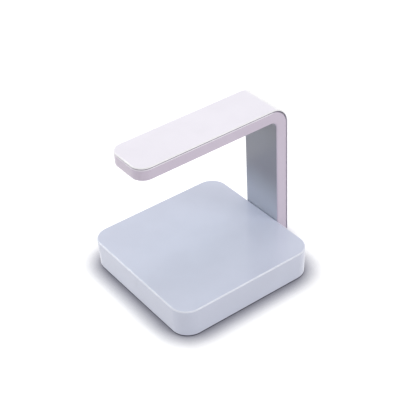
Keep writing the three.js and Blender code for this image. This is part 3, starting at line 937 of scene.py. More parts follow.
@dataclass(frozen=True)
class CircuitMask(Finish):
    """A printed board: solder mask over raised tracks, with bare pads."""

    pad: str = "C9B27A"
    pad_rim: Span = (0.16, 0.13)
    track: float = 1.6 * MM  # from one row of tracks to the next
    track_run: float = 6.0  # a track's length, in rows
    track_gap: float = 0.2  # the gap between tracks, in rows
    pad_pitch: float = 2.2  # from pad to pad, in rows
    stagger: float = 0.35  # how far every other row is shifted, in lengths of a track
    softness: float = 0.1
    spread: float = 0.1
    depth: float = 0.03 * MM

    def wire(self, sheet: Sheet) -> Inputs:
        """Wires tracks, pads and the mask's tone.

        Args:
            sheet: The material's nodes.

        Returns:
            The shader's inputs.
        """
        flat = sheet.times(sheet.place(), Vector((1.0, 1.0, 0.0)))
        layout = {
            "Vector": flat,
            "Scale": 1.0,
            "Mortar Size": self.track * self.track_gap,
            "Mortar Smooth": self.softness,
            "Brick Width": self.track * self.track_run,
            "Row Height": self.track,
        }
        tracks = sheet.add("TexBrick", layout, offset=self.stagger).outputs["Fac"]
        spacing = {"Vector": flat, "Scale": 1 / (self.track * self.pad_pitch)}
        dots = sheet.add("TexVoronoi", spacing, feature="F1")
        pads = sheet.remap(dots.outputs["Distance"], self.pad_rim)
        tone = self.toned(sheet, tracks, self.spread)
        return {
            "Base Color": sheet.mix(pads, tone["Base Color"], linear(self.pad)),
            "Roughness": tone["Roughness"],
            "Metallic": pads,
            "Normal": sheet.bump(sheet.math("ADD", tracks, pads), self.depth),
        }


@dataclass(frozen=True)
class LitWindow(Finish):
    """A frosted window with lamps behind it, brightest under each lamp."""

    glow: str = "9FF6FF"
    edge_glow: str = "4CCFE6"
    strength: float = 0.35
    lamp_radius: float = 5.0 * MM
    frost: float = 0.3 * MM
    depth: float = 0.01 * MM
    spread: float = 0.05

    def wire(self, sheet: Sheet) -> Inputs:
        """Wires the light of the two rows of lamps through the frosting.

        Args:
            sheet: The material's nodes.

        Returns:
            The shader's inputs.
        """
        lamps = [centre_of(name) for name in numbered("uv_led_")]
        row = min(abs(lamp.x) for lamp in lamps)
        front, back = (pick(lamp.y for lamp in lamps) for pick in (min, max))
        last = len(lamps) / 2 - 1
        pitch = (back - front) / last
        place = sheet.place()
        parts = sheet.split(place)
        across = sheet.math("SUBTRACT", sheet.math("ABSOLUTE", parts["X"]), row)
        steps = sheet.math("DIVIDE", sheet.math("SUBTRACT", parts["Y"], front), pitch)
        nearest = sheet.math("ROUND", sheet.math("MINIMUM", sheet.math("MAXIMUM", steps, 0.0), last))
        away = sheet.math("MULTIPLY", sheet.math("SUBTRACT", steps, nearest), pitch)
        square = sheet.square_sum(across, away)
        spot = sheet.math("EXPONENT", sheet.math("DIVIDE", square, -(self.lamp_radius**2)))
        frost = sheet.noise(place, Noise(1 / self.frost, detail=2.0))
        return {
            **self.toned(sheet, frost, self.spread),
            "Emission Color": sheet.mix(spot, linear(self.edge_glow), linear(self.glow)),
            "Emission Strength": self.strength,
            "Normal": sheet.bump(frost, self.depth),
        }


class Finishes:
    """The finishes of this object."""

    # Each edge colour below is a painted highlight on the rounded rims.
    BASE = Moulding("base_white", "D3D7E9", "D0D4E6", 0.31, coat=0.7, edge="ECEFFB")
    # The channel is darker and more lilac than the skin: partly its own tone, partly painted shade of the
    # sides it shows.
    ARM = ArmMoulding("arm_white", "D7CADC", "D4C7D9", 0.31, coat=0.5, edge="FBF6FE")
    COVER = Moulding("arm_cover_white", "F7F3FD", "F4F0FA", 0.31, coat=0.6, edge="FEFDFF")
    BUTTON = Moulding("button_white", "E0DFE8", "D9D8E2", 0.3, dust=0.02)
    WINDOW = LitWindow("lamp_diffuser", "CFF3F8", "BDEAF2", 0.4)
    LIGHT_PIPE = Moulding("light_pipe", "DDF6F8", "C9EFF3", 0.15, dust=0.0, glow="7FEBFF", glow_strength=1.5)
    RUBBER = Moulding("black_rubber", "2E2E31", "262629", 0.75, grain=0.35 * MM, depth=0.03 * MM, dust=0.25)
    BLACK = Moulding("black_moulding", "2A2A2C", "222224", 0.45)
    NYLON = Moulding("cream_nylon", "F0E9DA", "E7DECB", 0.45)
    CHIP = Moulding("lamp_chip", "F2EBD4", "E8DFC2", 0.35, glow="BFF8FF", glow_strength=2.0)
    REFLECTOR = Moulding("reflector_white", "F5F7F8", "EEF1F3", 0.15, coat=0.5)
    FERRITE = Moulding("ferrite", "4A4744", "3E3B39", 0.6, grain=0.12 * MM, depth=0.02 * MM)
    WRAP = Metal("battery_wrap", "8C9AA8", "74828F", 0.38, lay=Axis.X, mark=0.6 * MM, depth=0.03 * MM)
    RED = Moulding("lead_red", "9A2A2A", "862222", 0.4)
    SLEEVE = Moulding("lead_black", "2C2C2F", "242427", 0.5)
    BRIGHT = Metal("bright_steel", "D6D8DB", "C6C8CC", 0.22, lay=Axis.Y)
    SCREW = Metal("screw_steel", "B4B5B8", "9C9DA1", 0.32)
    GREEN = CircuitMask("circuit_green", "1F6B48", "2B8058", 0.35)
    WHITE_BOARD = CircuitMask("circuit_white", "ECEFEB", "E0E4DF", 0.35)


class SubAssembly(ABC):
    """A group of pieces that are made and fitted together."""

    @abstractmethod
    def build(self) -> None:
        """Makes the pieces and dresses them."""

    def fit(self, work: Workpiece, name: str, node: str, finish: Finish, body: Body = Body.SANITIZER) -> None:
        """Makes a finished piece that stands for a CAD node.

        Args:
            work: The shaped mesh.
            name: The piece's name.
            node: The CAD node.
            finish: Its finish.
            body: The body that it rides on.
        """
        piece = work.finish(name)
        piece.data.materials.append(finish.material())
        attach(piece, body.value)
        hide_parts(node)
        LOG.info("%s: %d faces, %s", name, len(piece.data.polygons), finish.slot)

    def dress(self, finish: Finish, *nodes: str) -> None:
        """Gives CAD nodes their finish.

        Args:
            finish: The finish.
            nodes: The nodes.
        """
        for node in nodes:
            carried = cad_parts[node]
            carried.data.materials.clear()
            carried.data.materials.append(finish.material())
            LOG.info("%s: carried over, %s", node, finish.slot)


@dataclass
class Base(SubAssembly):
    """The base: its shell with the deck, the bottom cover, the feet and the screws that hold the cover."""

    corner: float = 14.0 * MM
    corner_steps: int = 24
    draft: float = 0.6 * MM
    wall: float = 2.2 * MM
    deck: float = 2.2 * MM
    deck_edge: Rounding = Rounding(1.2 * MM, 6)
    foot_edge: Rounding = Rounding(0.6 * MM, 3)
    boss_radius: float = 3.0 * MM
    boss_root: float = 0.5 * MM
    pilot_radius: float = 1.5 * MM
    harness_hole: float = 3.5 * MM
    post_screw_hole: float = 1.8 * MM
    floor: float = 2.0 * MM
    floor_edge: Rounding = Rounding(0.3 * MM, 3)
    collar_radius: float = 4.0 * MM
    collar_height: float = 1.5 * MM
    rib: float = 1.2 * MM
    rib_reach: float = 10.0 * MM
    rib_height: float = 3.0 * MM
    sole_edge: Rounding = Rounding(0.4 * MM, 4)
    sole_rim: float = 1.2 * MM
    sole_slope: float = 0.3 * MM
    sole_dish: float = 0.2 * MM

    def __post_init__(self) -> None:
        """Reads the shell's place, which the lean and the rounded rim keep from its full width."""
        self.low, self.middle, self.high = extent_of("base_shell")
        lean = self.draft * self.deck_edge.radius / (self.high.z - self.low.z)
        self.low -= Vector((lean, lean, 0.0))
        self.high += Vector((lean, lean, 0.0))

    def build(self) -> None:
        """Makes the shell, the cover, the feet and the cover's screws."""
        self.fit(self.shell(), "base_shell_body", "base_shell", Finishes.BASE)
        self.fit(self.bottom_cover(), "bottom_cover_plate", "base_bottom_cover", Finishes.BASE)
        for node in numbered("foot_"):
            self.fit(self.foot(node), node + "_pad", node, Finishes.RUBBER)
        for node in numbered("cover_screw_"):
            self.fit(CapScrew(node).shape(), node + "_cap", node, Finishes.SCREW)

    def lean_at(self, height: float) -> float:
        """How far the wall stands in from the shell's widest, at a height."""
        return self.draft * (self.high.z - height) / (self.high.z - self.low.z)

    def leaning_block(self, inset: float, low: float, high: float) -> Workpiece:
        """Makes a rounded square block whose walls lean in towards the foot.

        Args:
            inset: How far it lies inside the shell's outside.
            low: The height of its underside.
            high: The height of its top.

        Returns:
            The block.
        """
        side = Vector((inset, inset, 0.0))
        block = Workpiece.block(moved(self.low + side, Axis.Z, low), moved(self.high - side, Axis.Z, high))
        block.round(block.edges_along(Axis.Z), Rounding(self.corner - inset, self.corner_steps))
        half = self.high.x - inset
        for height in (low, high):
            ring = [v for v in block.bm.verts if abs(v.co.z - height) < NEAR]
            share = (half - self.lean_at(height)) / half
            block.scale(ring, self.middle, Vector((share, share, 1.0)))
        block.bm.normal_update()
        return block

    def shell(self) -> Workpiece:
        """Shapes the shell: deck, walls, screw bosses and the openings in its walls.

        Returns:
            The shell.
        """
        shell = self.leaning_block(0.0, self.low.z, self.high.z)
        shell.round_end(Axis.Z, self.high.z, self.deck_edge)
        shell.round_end(Axis.Z, self.low.z, self.foot_edge)
        under_deck = self.high.z - self.deck
        shell.cut(self.leaning_block(self.wall, self.low.z - OVERRUN, under_deck))
        cover_top, board_top = (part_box(node)[1].z for node in ("base_bottom_cover", "main_board"))
        for stem, start in (("cover_screw_", cover_top - GAP), ("board_screw_", board_top + GAP)):
            for at in map(centre_of, numbered(stem)):
                shell.join(Workpiece.rod(self.boss_radius, at, Axis.Z, start, under_deck + self.boss_root))
                pilot = (start - OVERRUN, under_deck - GAP)
                shell.cut(Workpiece.rod(self.pilot_radius, at, Axis.Z, *pilot, SMALL_SIDES))
        for cutter in self.openings():
            shell.cut(cutter)
        return shell

    def openings(self) -> Iterator[Workpiece]:
        """Makes the cutters for the openings in the walls.

        Returns:
            The cutters, one after the other.
        """
        button = PowerButton()
        low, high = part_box("usb_c_socket")
        left = self.low.x + self.lean_at(centre_of("power_button").z)
        rear = self.high.y - self.lean_at(centre_of("usb_c_socket").z)
        screws = [(node, cube(2 * self.post_screw_hole)) for node in numbered("post_screw_")]
        in_left = [
            ("power_button", button.cap_size() + cube(2 * GAP)),
            ("status_light_pipe", cube(2 * button.light_radius + 2 * GAP)),
        ]
        in_rear = [
            ("usb_c_socket", high - low + cube(2 * GAP)),
            ("harness_grommet", cube(2 * self.harness_hole)),
            *screws,
        ]
        within = self.wall + 2 * OVERRUN
        for node, size in in_left:
            yield Opening(Axis.X, centre_of(node), size).cutter(left + within, left)
        for node, size in in_rear:
            yield Opening(Axis.Y, centre_of(node), size).cutter(rear - within, rear)

    def bottom_cover(self) -> Workpiece:
        """Shapes the bottom cover: a plate with screw collars, foot pockets and ribs round the battery.

        Returns:
            The cover.
        """
        top = self.low.z + self.floor
        below = self.low.z - OVERRUN
        collar_top = top + self.collar_height
        plate = self.leaning_block(self.wall + GAP, self.low.z, top)
        plate.round_end(Axis.Z, self.low.z, self.floor_edge)
        screws = [CapScrew(node) for node in numbered("cover_screw_")]
        for screw in screws:
            plate.join(Workpiece.rod(self.collar_radius, screw.middle, Axis.Z, top - GAP, collar_top))
        for low, high in self.battery_ribs(top):
            plate.join(Workpiece.block(low, high))
        for screw in screws:
            seat = screw.low.z + screw.head_height + GAP
            through = (below, collar_top + OVERRUN)
            plate.cut(
                Workpiece.rod(screw.head_radius + GAP, screw.middle, Axis.Z, below, seat),
                Workpiece.rod(screw.radius + GAP, screw.middle, Axis.Z, *through, SMALL_SIDES),
            )
        for node in numbered("foot_"):
            low, at, high = extent_of(node)
            plate.cut(Workpiece.rod((high.x - low.x) / 2 + GAP, at, Axis.Z, below, high.z + GAP))
        return plate

    def battery_ribs(self, floor: float) -> list[Box]:
        """Places the four low ribs that keep the battery in its place.

        Args:
            floor: The height of the cover's upper face.

        Returns:
            The lowest and highest corner of each rib.
        """
        room = Vector((GAP, GAP, 0.0))
        low, middle, high = extent_of("battery_pack")
        left, front, foot = moved(low - room, Axis.Z, floor - GAP)
        right, back, top = moved(high + room, Axis.Z, floor + self.rib_height)
        near, far = (middle.y + way * self.rib_reach for way in (-1, 1))
        start, end = self.rib_reach, 2 * self.rib_reach
        return [
            (Vector((right, near, foot)), Vector((right + self.rib, far, top))),
            (Vector((left - self.rib, near, foot)), Vector((left, far, top))),
            (Vector((start, front - self.rib, foot)), Vector((end, front, top))),
            (Vector((start, back, foot)), Vector((end, back + self.rib, top))),
        ]

    def foot(self, node: str) -> Workpiece:
        """Shapes a rubber foot: a disc with a soft rim and a shallow dish in its sole.

        Args:
            node: The CAD node of the foot.

        Returns:
            The foot.
        """
        low, at, high = extent_of(node)
        disc = Workpiece.rod((high.x - low.x) / 2, at, Axis.Z, low.z, high.z)
        disc.round_end(Axis.Z, low.z, self.sole_edge)
        down = -Axis.Z.unit()
        disc.inset(disc.faces_towards(down), self.sole_rim)
        sole = disc.faces_towards(down, lambda face: (face - at).xy.length < NEAR)
        disc.inset(sole, self.sole_slope, -self.sole_dish)
        return disc


@dataclass
class CapScrew:
    """A cap screw that goes in from below, with a rounded head and a hexagon socket."""

    node: str
    head_height: float = 1.3 * MM
    head_edge: Rounding = Rounding(0.25 * MM, 4)
    tip_edge: Rounding = Rounding(0.3 * MM, 2)
    shank_share: float = 1.3 / 2.3
    socket_share: float = 0.5
    socket_depth_share: float = 0.65

    def __post_init__(self) -> None:
        """Reads the screw's place and its head's radius."""
        self.low, self.middle, self.high = extent_of(self.node)
        self.head_radius = (self.high.x - self.low.x) / 2
        self.radius = self.head_radius * self.shank_share

    def shape(self) -> Workpiece:
        """Shapes the screw.

        Returns:
            The screw.
        """
        start, end = self.low.z, self.high.z
        seat = start + self.head_height
        head = Workpiece.rod(self.head_radius, self.middle, Axis.Z, start, seat)
        head.round_end(Axis.Z, start, self.head_edge)
        shank = Workpiece.rod(self.radius, self.middle, Axis.Z, seat - GAP, end, SMALL_SIDES)
        shank.round_end(Axis.Z, end, self.tip_edge)
        bottom = start + self.head_height * self.socket_depth_share
        across = self.head_radius * self.socket_share
        socket = Workpiece.rod(across, self.middle, Axis.Z, start - OVERRUN, bottom, HEX_SIDES)
        return head.join(shank).cut(socket)


@dataclass
class PowerButton(SubAssembly):
    """The power button, the plunger behind it and the status light beside it."""

    width: float = 13.0 * MM
    height: float = 6.5 * MM
    edge: Rounding = Rounding(0.5 * MM, 4)
    flange: float = 0.9 * MM
    dish: float = 0.18 * MM
    dish_margins: tuple[float, ...] = (0.5 * MM, 0.5 * MM, 0.6 * MM)
    dish_shares: tuple[float, ...] = (0.0, 0.6, 0.4)
    light_radius: float = 1.5 * MM
    light_dome: Rounding = Rounding(0.6 * MM, 6)
    end_steps: int = 16

    def cap_size(self) -> Vector:
        """The size of the cap's face."""
        return Vector((0.0, self.width, self.height))

    def build(self) -> None:
        """Makes the button and the light pipe, and dresses the plunger."""
        self.fit(self.cap(), "power_button_cap", "power_button", Finishes.BUTTON, Body.BUTTON)
        self.dress(Finishes.NYLON, "switch_plunger")
        self.fit(self.light_pipe(), "status_light_lens", "status_light_pipe", Finishes.LIGHT_PIPE)

    def cap(self) -> Workpiece:
        """Shapes the button: a slot-shaped cap with a dished face, on a thin flange.

        Returns:
            The button.
        """
        low, middle, high = extent_of("power_button")
        half = self.cap_size() / 2
        ends = (moved(middle - half, Axis.X, low.x), moved(middle + half, Axis.X, high.x))
        cap = Workpiece.slot(*ends, Axis.X, math.inf, self.end_steps)
        cap.round_end(Axis.X, low.x, self.edge)
        for margin, share in zip(self.dish_margins, self.dish_shares):
            face = max(cap.faces_towards(-Axis.X.unit()), key=lambda f: f.calc_area())
            cap.inset([face], margin, -self.dish * share)
        flange_low = moved(low, Axis.X, high.x - self.flange)
        return cap.join(Workpiece.slot(flange_low, high, Axis.X, math.inf, self.end_steps))

    def light_pipe(self) -> Workpiece:
        """Shapes the light pipe: a stem with a domed end, on a thin flange.

        Returns:
            The light pipe.
        """
        low, middle, high = extent_of("status_light_pipe")
        stem = Workpiece.rod(self.light_radius, middle, Axis.X, low.x, high.x)
        stem.round_end(Axis.X, low.x, self.light_dome)
        radius = (high.y - low.y) / 2
        return stem.join(Workpiece.rod(radius, middle, Axis.X, high.x - self.flange, high.x - NEAR))


@dataclass
class ChargingSocket(SubAssembly):
    """The charging socket: a drawn steel shell and the tongue inside it."""

    wall: float = 0.35 * MM
    back: float = 0.8 * MM
    lip: Rounding = Rounding(0.12 * MM, 3)
    side_steps: int = 16
    tongue_edge: Rounding = Rounding(0.2 * MM, 4)
    contacts: int = 12
    contact_pitch: float = 0.5 * MM
    contact_share: float = 0.6  # a contact's width against the pitch
    contact_from_share: float = 0.2  # where contacts start along the tongue
    contact_from_front: float = 0.6 * MM
    contact_proud: float = 0.03 * MM

    def build(self) -> None:
        """Makes the shell and the tongue."""
        self.fit(self.shell(), "usb_c_shell", "usb_c_socket", Finishes.BRIGHT)
        self.fit(self.tongue(), "usb_c_blade", "usb_c_tongue", Finishes.BLACK)

    def shell(self) -> Workpiece:
        """Shapes the shell: a flat tube with round sides, closed at its inner end.

        Returns:
            The shell.
        """
        low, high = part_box("usb_c_socket")
        shell = Workpiece.slot(low, high, Axis.Y, math.inf, self.side_steps)
        ahead = Axis.Y.unit()
        shell.inset(shell.faces_towards(ahead), self.wall)
        mouth = max(shell.faces_towards(ahead), key=lambda f: f.calc_area())
        shell.extrude([mouth], -ahead * (high.y - low.y - self.back))
        return shell.round_end(Axis.Y, high.y, self.lip)

    def tongue(self) -> Workpiece:
        """Shapes the tongue: a thin blade with a rounded front and rows of contacts on both faces.

        Returns:
            The tongue.
        """
        low, middle, high = extent_of("usb_c_tongue")
        blade = Workpiece.block(low, high)
        blade.round(blade.edges_along(Axis.X, level(Axis.Y, high.y)), self.tongue_edge)
        first = middle.x - self.contact_pitch * (self.contacts - 1) / 2
        half = self.contact_pitch * self.contact_share / 2
        start = low.y + (high.y - low.y) * self.contact_from_share
        end = high.y - self.contact_from_front
        for i in range(self.contacts):
            x = first + i * self.contact_pitch
            contact_low = Vector((x - half, start, low.z - self.contact_proud))
            blade.join(Workpiece.block(contact_low, Vector((x + half, end, high.z + self.contact_proud))))
        return blade


@dataclass
class LampArm(SubAssembly):
    """The post and arm: a bent channel, and the skin that closes it from above and behind."""

    bend_outer: float = 14.0 * MM
    bend_inner: float = 5.0 * MM
    tip_corner: float = 10.0 * MM
    skin: float = 1.0 * MM
    wall: float = 2.0 * MM
    under_wall: float = 1.8 * MM
    rim: Rounding = Rounding(1.2 * MM, 5)  # of the channel's edges round its inner side
    lip: Rounding = Rounding(0.8 * MM, 4)  # of the channel's edges next to the seam
    seam_edge: Rounding = Rounding(0.2 * MM, 3)  # of the skin's edges next to the seam
    crown: Rounding = Rounding(0.9 * MM, 8)  # of the skin's outer edges
    margin: float = 0.1 * MM  # room either way when a corner is picked by its depth
    bend_steps: int = 28
    fillet_steps: int = 12
    tip_steps: int = 24
    boss_root: float = 0.4 * MM
    post_boss_radius: float = 3.0 * MM
    post_boss_length: float = 5.0 * MM
    post_pilot: float = 1.7 * MM
    lamp_boss_radius: float = 2.0 * MM
    lamp_pilot: float = 1.2 * MM
    lamp_pilot_room: float = 0.2 * MM
    harness_hole: float = 3.5 * MM
    hook: float = 1.2 * MM
    hook_length: float = 8.0 * MM
    hook_depth: float = 4.0 * MM
    hook_pitch: float = 34.0 * MM
    hook_root: float = 0.5 * MM
    hooks_a_side: int = 3

    def __post_init__(self) -> None:
        """Reads the place of the skin, the channel and the underside."""
        self.low, self.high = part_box("arm_cover")
        self.frame_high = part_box("arm_frame")[1]
        self.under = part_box("lamp_window")[0].z
        self.inner = self.high.y - (self.high.z - self.under)

    def build(self) -> None:
        """Makes the channel and the skin, and dresses what is fixed to them."""
        self.fit(self.channel(), "arm_channel", "arm_frame", Finishes.ARM)
        self.fit(self.cover(), "arm_skin", "arm_cover", Finishes.COVER)
        self.dress(Finishes.SCREW, *numbered("post_screw_"))
        self.dress(Finishes.RUBBER, "harness_grommet")

    def bent_bar(
        self, outer: float, inner: float, sides: float, ends: float, fillet: float, bend: float
    ) -> Workpiece:
        """Makes a bar that follows the post up and the arm forwards.

        Args:
            outer: How far its outer side lies inside the skin's outside.
            inner: How far its inner side lies inside the channel's inner side.
            sides: How far its sides and its free end lie inside the channel's.
            ends: How far its lower end lies above the channel's.
            fillet: The radius of its inner corner.
            bend: The radius of its outer corner, or 0 where it stays square.

        Returns:
            The bar.
        """
        left, tip, foot = self.low + Vector((sides, sides, ends))
        back, top = self.high.y - outer, self.high.z - outer
        face, under = self.inner + inner, self.under + inner
        places = [(tip, top), (tip, under), (face, under), (face, foot), (back, foot), (back, top)]
        bar = Workpiece.prism([Vector((left, y, z)) for y, z in places], Vector((-2 * left, 0.0, 0.0)))
        outside, inside = Rounding(bend, self.bend_steps), Rounding(fillet, self.fillet_steps)
        for y, z, rounding in ((back, top, outside), (face, under, inside)):
            if rounding.radius:
                corner = bar.edges_along(Axis.X, lambda at: abs(at.y - y) < NEAR and abs(at.z - z) < NEAR)
                bar.round(corner, rounding)
        columns = bar.edges_along(Axis.Z, level(Axis.Y, tip))
        return bar.round(columns, Rounding(self.tip_corner - sides, self.tip_steps))

    def near_outside(self, at: Vector, depth: float) -> bool:
        """Whether a place lies within a depth of the skin's outer face.

        Args:
            at: The place.
            depth: The depth.

        Returns:
            True if it does.
        """
        offset = at.yz - (self.high.yz - Vector((self.bend_outer, self.bend_outer)))
        if offset.x > 0 and offset.y > 0:
            return offset.length > self.bend_outer - depth
        return at.y > self.high.y - depth or at.z > self.high.z - depth

    def channel(self) -> Workpiece:
        """Shapes the channel: side walls, underside, the face towards the base and both ends.

        Returns:
            The channel.
        """
        seam = self.high.z - self.frame_high.z
        bar = self.bent_bar(seam, 0.0, 0.0, 0.0, self.bend_inner, self.bend_outer - seam)
        near_seam = seam + self.margin
        bar.round(bar.sharp_edges(lambda at: self.near_outside(at, near_seam)), self.lip)
        bar.round(bar.sharp_edges(lambda at: not self.near_outside(at, seam + self.wall)), self.rim)
        fillet = self.bend_inner + self.under_wall
        bar.cut(self.bent_bar(-OVERRUN, self.under_wall, self.wall, self.wall, fillet, 0.0))
        self.add_bosses(bar)
        return bar.cut(self.window_opening().cutter(self.under + self.under_wall + OVERRUN, self.under))

    def add_bosses(self, bar: Workpiece) -> None:
        """Adds the bosses for the post's screws and the lamp board's screws, and the harness's hole.

        Args:
            bar: The channel.
        """
        face = self.inner + self.wall
        before = self.inner - OVERRUN
        end = face + self.post_boss_length
        for at in map(centre_of, numbered("post_screw_")):
            bar.join(Workpiece.rod(self.post_boss_radius, at, Axis.Y, face - self.boss_root, end))
            bar.cut(Workpiece.rod(self.post_pilot, at, Axis.Y, before, end + OVERRUN, SMALL_SIDES))
        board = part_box("led_board")[0].z
        root = self.under + self.under_wall - self.boss_root
        for node in numbered("led_board_screw_"):
            at = centre_of(node)
            bar.join(Workpiece.rod(self.lamp_boss_radius, at, Axis.Z, root, board - GAP, SMALL_SIDES))
            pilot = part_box(node)[0].z - self.lamp_pilot_room
            bar.cut(Workpiece.rod(self.lamp_pilot, at, Axis.Z, pilot, board + OVERRUN, SMALL_SIDES))
        grommet = centre_of("harness_grommet")
        bar.cut(Workpiece.rod(self.harness_hole, grommet, Axis.Y, before, face + OVERRUN))

    def window_opening(self) -> Opening:
        """The opening for the lamp window in the underside."""
        low, high = Lamp().clear_outline()
        return Opening(Axis.Z, (low + high) / 2, high - low + cube(2 * GAP), Lamp().corner, GAP)

    def cover(self) -> Workpiece:
        """Shapes the skin: one sheet over the arm and down the post, with hooks inside.

        Returns:
            The skin.
        """
        sheet = self.bent_bar(0.0, 0.0, 0.0, 0.0, self.bend_inner, self.bend_outer)
        foot = self.low.z + NEAR
        sheet.round(sheet.sharp_edges(lambda at: self.near_outside(at, NEAR) and at.z > foot), self.crown)
        fillet, bend = self.bend_inner - OVERRUN, self.bend_outer - self.skin
        sheet.cut(self.bent_bar(self.skin, -OVERRUN, -OVERRUN, -OVERRUN, fillet, bend))
        depth = self.skin - self.margin
        edges = sheet.sharp_edges(lambda at: at.z < foot or not self.near_outside(at, depth))
        sheet.round(edges, self.seam_edge)
        for low, high in self.hooks():
            sheet.join(Workpiece.block(low, high))
        return sheet

    def hooks(self) -> Iterator[Box]:
        """Places the hooks that reach inside the channel's walls.

        Returns:
            The lowest and highest corner of each hook, one after the other.
        """
        outer = self.high.x - self.wall - GAP
        top, back = self.high.z - self.skin, self.high.y - self.skin
        for i in range(self.hooks_a_side):
            end = (i + 0.5) * self.hook_pitch
            start = end + self.hook_length
            on_arm = (self.inner - start, top - self.hook_depth, self.inner - end, top + self.hook_root)
            on_post = (back - self.hook_depth, self.under - start, back + self.hook_root, self.under - end)
            for y_low, z_low, y_high, z_high in (on_arm, on_post):
                yield Vector((outer - self.hook, y_low, z_low)), Vector((outer, y_high, z_high))
                yield Vector((-outer, y_low, z_low)), Vector((self.hook - outer, y_high, z_high))


@dataclass
class Lamp(SubAssembly):
    """The lamp inside the arm: window, reflector, lamps, their board and its harness."""

    corner: float = 4.0 * MM
    ledge: float = 2.0 * MM
    flange: float = 0.8 * MM
    edge: Rounding = Rounding(0.25 * MM, 3)

    def clear_outline(self) -> Box:
        """Finds the part of the window that shows.

        Returns:
            Its lowest and highest corner.
        """
        low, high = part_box("lamp_window")
        inset = Vector((self.ledge + GAP, self.ledge + GAP, 0.0))
        return low + inset, high - inset

    def build(self) -> None:
        """Makes the window and dresses what lies behind it."""
        self.fit(self.window(), "lamp_window_plate", "lamp_window", Finishes.WINDOW)
        self.dress(Finishes.REFLECTOR, "lamp_reflector")
        self.dress(Finishes.WHITE_BOARD, "led_board")
        self.dress(Finishes.CHIP, *numbered("uv_led_"))
        self.dress(Finishes.SCREW, *numbered("led_board_screw_"))
        self.dress(Finishes.NYLON, "harness_plug")
        self.dress(Finishes.SLEEVE, "lamp_harness")

    def window(self) -> Workpiece:
        """Shapes the window: a plate flush with the underside, on a ledge inside.

        Returns:
            The window.
        """
        low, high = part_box("lamp_window")
        plate = Workpiece.slot(*self.clear_outline(), Axis.Z, self.corner - GAP)
        plate.round_end(Axis.Z, low.z, self.edge)
        ledge = (moved(low, Axis.Z, high.z - self.flange), moved(high, Axis.Z, high.z - NEAR))
        return plate.join(Workpiece.slot(*ledge, Axis.Z, self.corner + self.ledge))


@dataclass
class Electronics(SubAssembly):
    """The battery, the main board and what stands on it."""

    def build(self) -> None:
        """Dresses the carried-over nodes inside the base."""
        self.dress(Finishes.WRAP, "battery_pack")
        self.dress(Finishes.RED, "battery_lead")
        self.dress(Finishes.GREEN, "main_board")
        self.dress(Finishes.BLACK, "controller_chip", "push_switch")
        self.dress(Finishes.FERRITE, "boost_coil")
        self.dress(Finishes.BRIGHT, "tilt_switch")
        self.dress(Finishes.NYLON, "battery_plug", "harness_header", "status_led")
        self.dress(Finishes.SCREW, *numbered("board_screw_"))


@dataclass(frozen=True)
class SoftLamp:
    """A square soft light that faces the object."""

    name: str
    place: tuple[float, float, float]
    side: float
    watts: float

    def build(self) -> None:
        """Makes the light."""
        lamp = bpy.data.lights.new(self.name, "AREA")
        lamp.shape = "SQUARE"
        lamp.size = self.side
        lamp.energy = self.watts
        holder = linked(self.name, lamp)
        holder.location = Vector(self.place)
        holder.rotation_euler = (-holder.location).to_track_quat("-Z", "Y").to_euler()


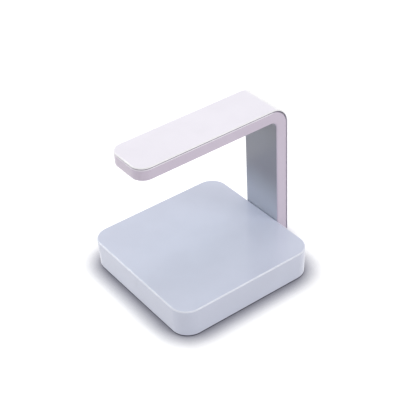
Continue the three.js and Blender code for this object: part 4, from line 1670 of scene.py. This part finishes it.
@dataclass
class Studio:
    """The floor, the lights and the camera."""

    azimuth: float = 55.255
    elevation: float = 36.387
    roll: float = -3.498
    distance: float = 0.7859
    target: tuple[float, float, float] = (-0.01248, 0.00561, 0.04972)
    lens: float = 94.37
    sensor: float = 36.0
    clip: Span = (0.01, 20.0)
    floor_side: float = 8.0
    floor_tone: float = 0.85
    floor_lift: float = 0.5
    # painted contact shadow on the floor: its reach, samples and depth in red, green and blue
    painted_shadow_reach: float = 16.5 * MM
    painted_shadow_samples: int = 16
    painted_shadow_depths: tuple[float, float, float] = (2.1, 2.1, 1.88)  # for red, green and blue
    ambient: float = 0.62
    lamps: tuple[SoftLamp, ...] = (
        SoftLamp("overhead", (-0.39, 0.12, 1.44), 0.3, 1.1),
        SoftLamp("left_key", (-0.99, -0.05, 1.13), 0.3, 3.3),
        SoftLamp("back_key", (-0.2, 0.69, 1.32), 0.3, 0.6),
        SoftLamp("right_fill", (0.99, 0.6, 0.95), 0.45, 3.2),
        SoftLamp("front_fill", (-0.99, -0.89, 0.7), 0.5, 1.7),
    )

    def build(self) -> None:
        """Sets up everything round the object."""
        bpy.context.scene.view_settings.view_transform = "Standard"
        self.world()
        self.floor()
        for lamp in self.lamps:
            lamp.build()
        self.camera()

    def world(self) -> None:
        """A world that looks white and lights the object softly."""
        world = bpy.data.worlds.new("studio_world")
        sheet = Sheet.blank(world)
        path = sheet.add("LightPath").outputs
        seen = sheet.math("MAXIMUM", path["Is Camera Ray"], path["Is Glossy Ray"])
        shown = sheet.math("MAXIMUM", seen, path["Is Transmission Ray"])
        strength = sheet.add("MapRange", {"Value": shown, "To Min": self.ambient, "To Max": 1.0}).outputs[0]
        white = sheet.add("Background", {"Color": (1.0, 1.0, 1.0, 1.0), "Strength": strength})
        sheet.add("OutputWorld", {"Surface": white.outputs[0]})
        bpy.context.scene.world = world

    def floor(self) -> None:
        """A plain pale floor that keeps the object's shadow, deepened by a painted contact shadow round its
        foot that only the camera sees.
        """
        plane = Workpiece()
        bmesh.ops.create_grid(plane.bm, x_segments=1, y_segments=1, size=self.floor_side / 2)
        floor = plane.as_object("studio_floor")
        material = bpy.data.materials.new("studio_floor")
        sheet = Sheet.blank(material)
        path = sheet.add("LightPath").outputs
        # painted contact shadow, for camera rays only, slightly bluer than grey
        shade = sheet.add("AmbientOcclusion", {"Distance": self.painted_shadow_reach}, samples=self.painted_shadow_samples)
        unseen = sheet.math("SUBTRACT", 1.0, path["Is Camera Ray"])
        contact = [sheet.math("POWER", shade.outputs["AO"], depth) for depth in self.painted_shadow_depths]
        free = sheet.add("CombineColor", {i: sheet.math("MAXIMUM", contact[i], unseen) for i in range(3)})
        tone = sheet.times(free.outputs[0], cube(self.floor_tone))
        paper = sheet.add("BsdfDiffuse", {"Color": tone})
        seen = sheet.math("MAXIMUM", path["Is Camera Ray"], path["Is Glossy Ray"])
        lift = sheet.math("MULTIPLY", seen, self.floor_lift)
        glow = sheet.add("Emission", {"Color": tone, "Strength": lift})
        both = sheet.add("AddShader", {0: paper.outputs[0], 1: glow.outputs[0]})
        sheet.add("OutputMaterial", {"Surface": both.outputs[0]})
        floor.data.materials.append(material)

    def camera(self) -> None:
        """The camera, where the photograph was taken from."""
        turn = math.radians(self.azimuth)
        rise = math.radians(self.elevation)
        back = Vector((math.sin(turn) * math.cos(rise), -math.cos(turn) * math.cos(rise), math.sin(rise)))
        data = bpy.data.cameras.new("camera")
        data.lens = self.lens
        data.sensor_width = self.sensor
        data.clip_start, data.clip_end = self.clip
        camera = linked("camera", data)
        straight = (-back).to_track_quat("-Z", "Y").to_matrix()
        rolled = straight @ Matrix.Rotation(math.radians(self.roll), 3, "Z")
        camera.matrix_world = Matrix.Translation(Vector(self.target) + back * self.distance) @ rolled.to_4x4()
        bpy.context.scene.camera = camera


def main() -> None:
    """Builds the object and its studio."""
    logging.basicConfig(level=logging.INFO, format="%(name)s %(message)s")
    for assembly in (Base(), PowerButton(), ChargingSocket(), LampArm(), Lamp(), Electronics()):
        LOG.info("building %s", type(assembly).__name__)
        assembly.build()
    Studio().build()


if __name__ == "__main__":
    main()
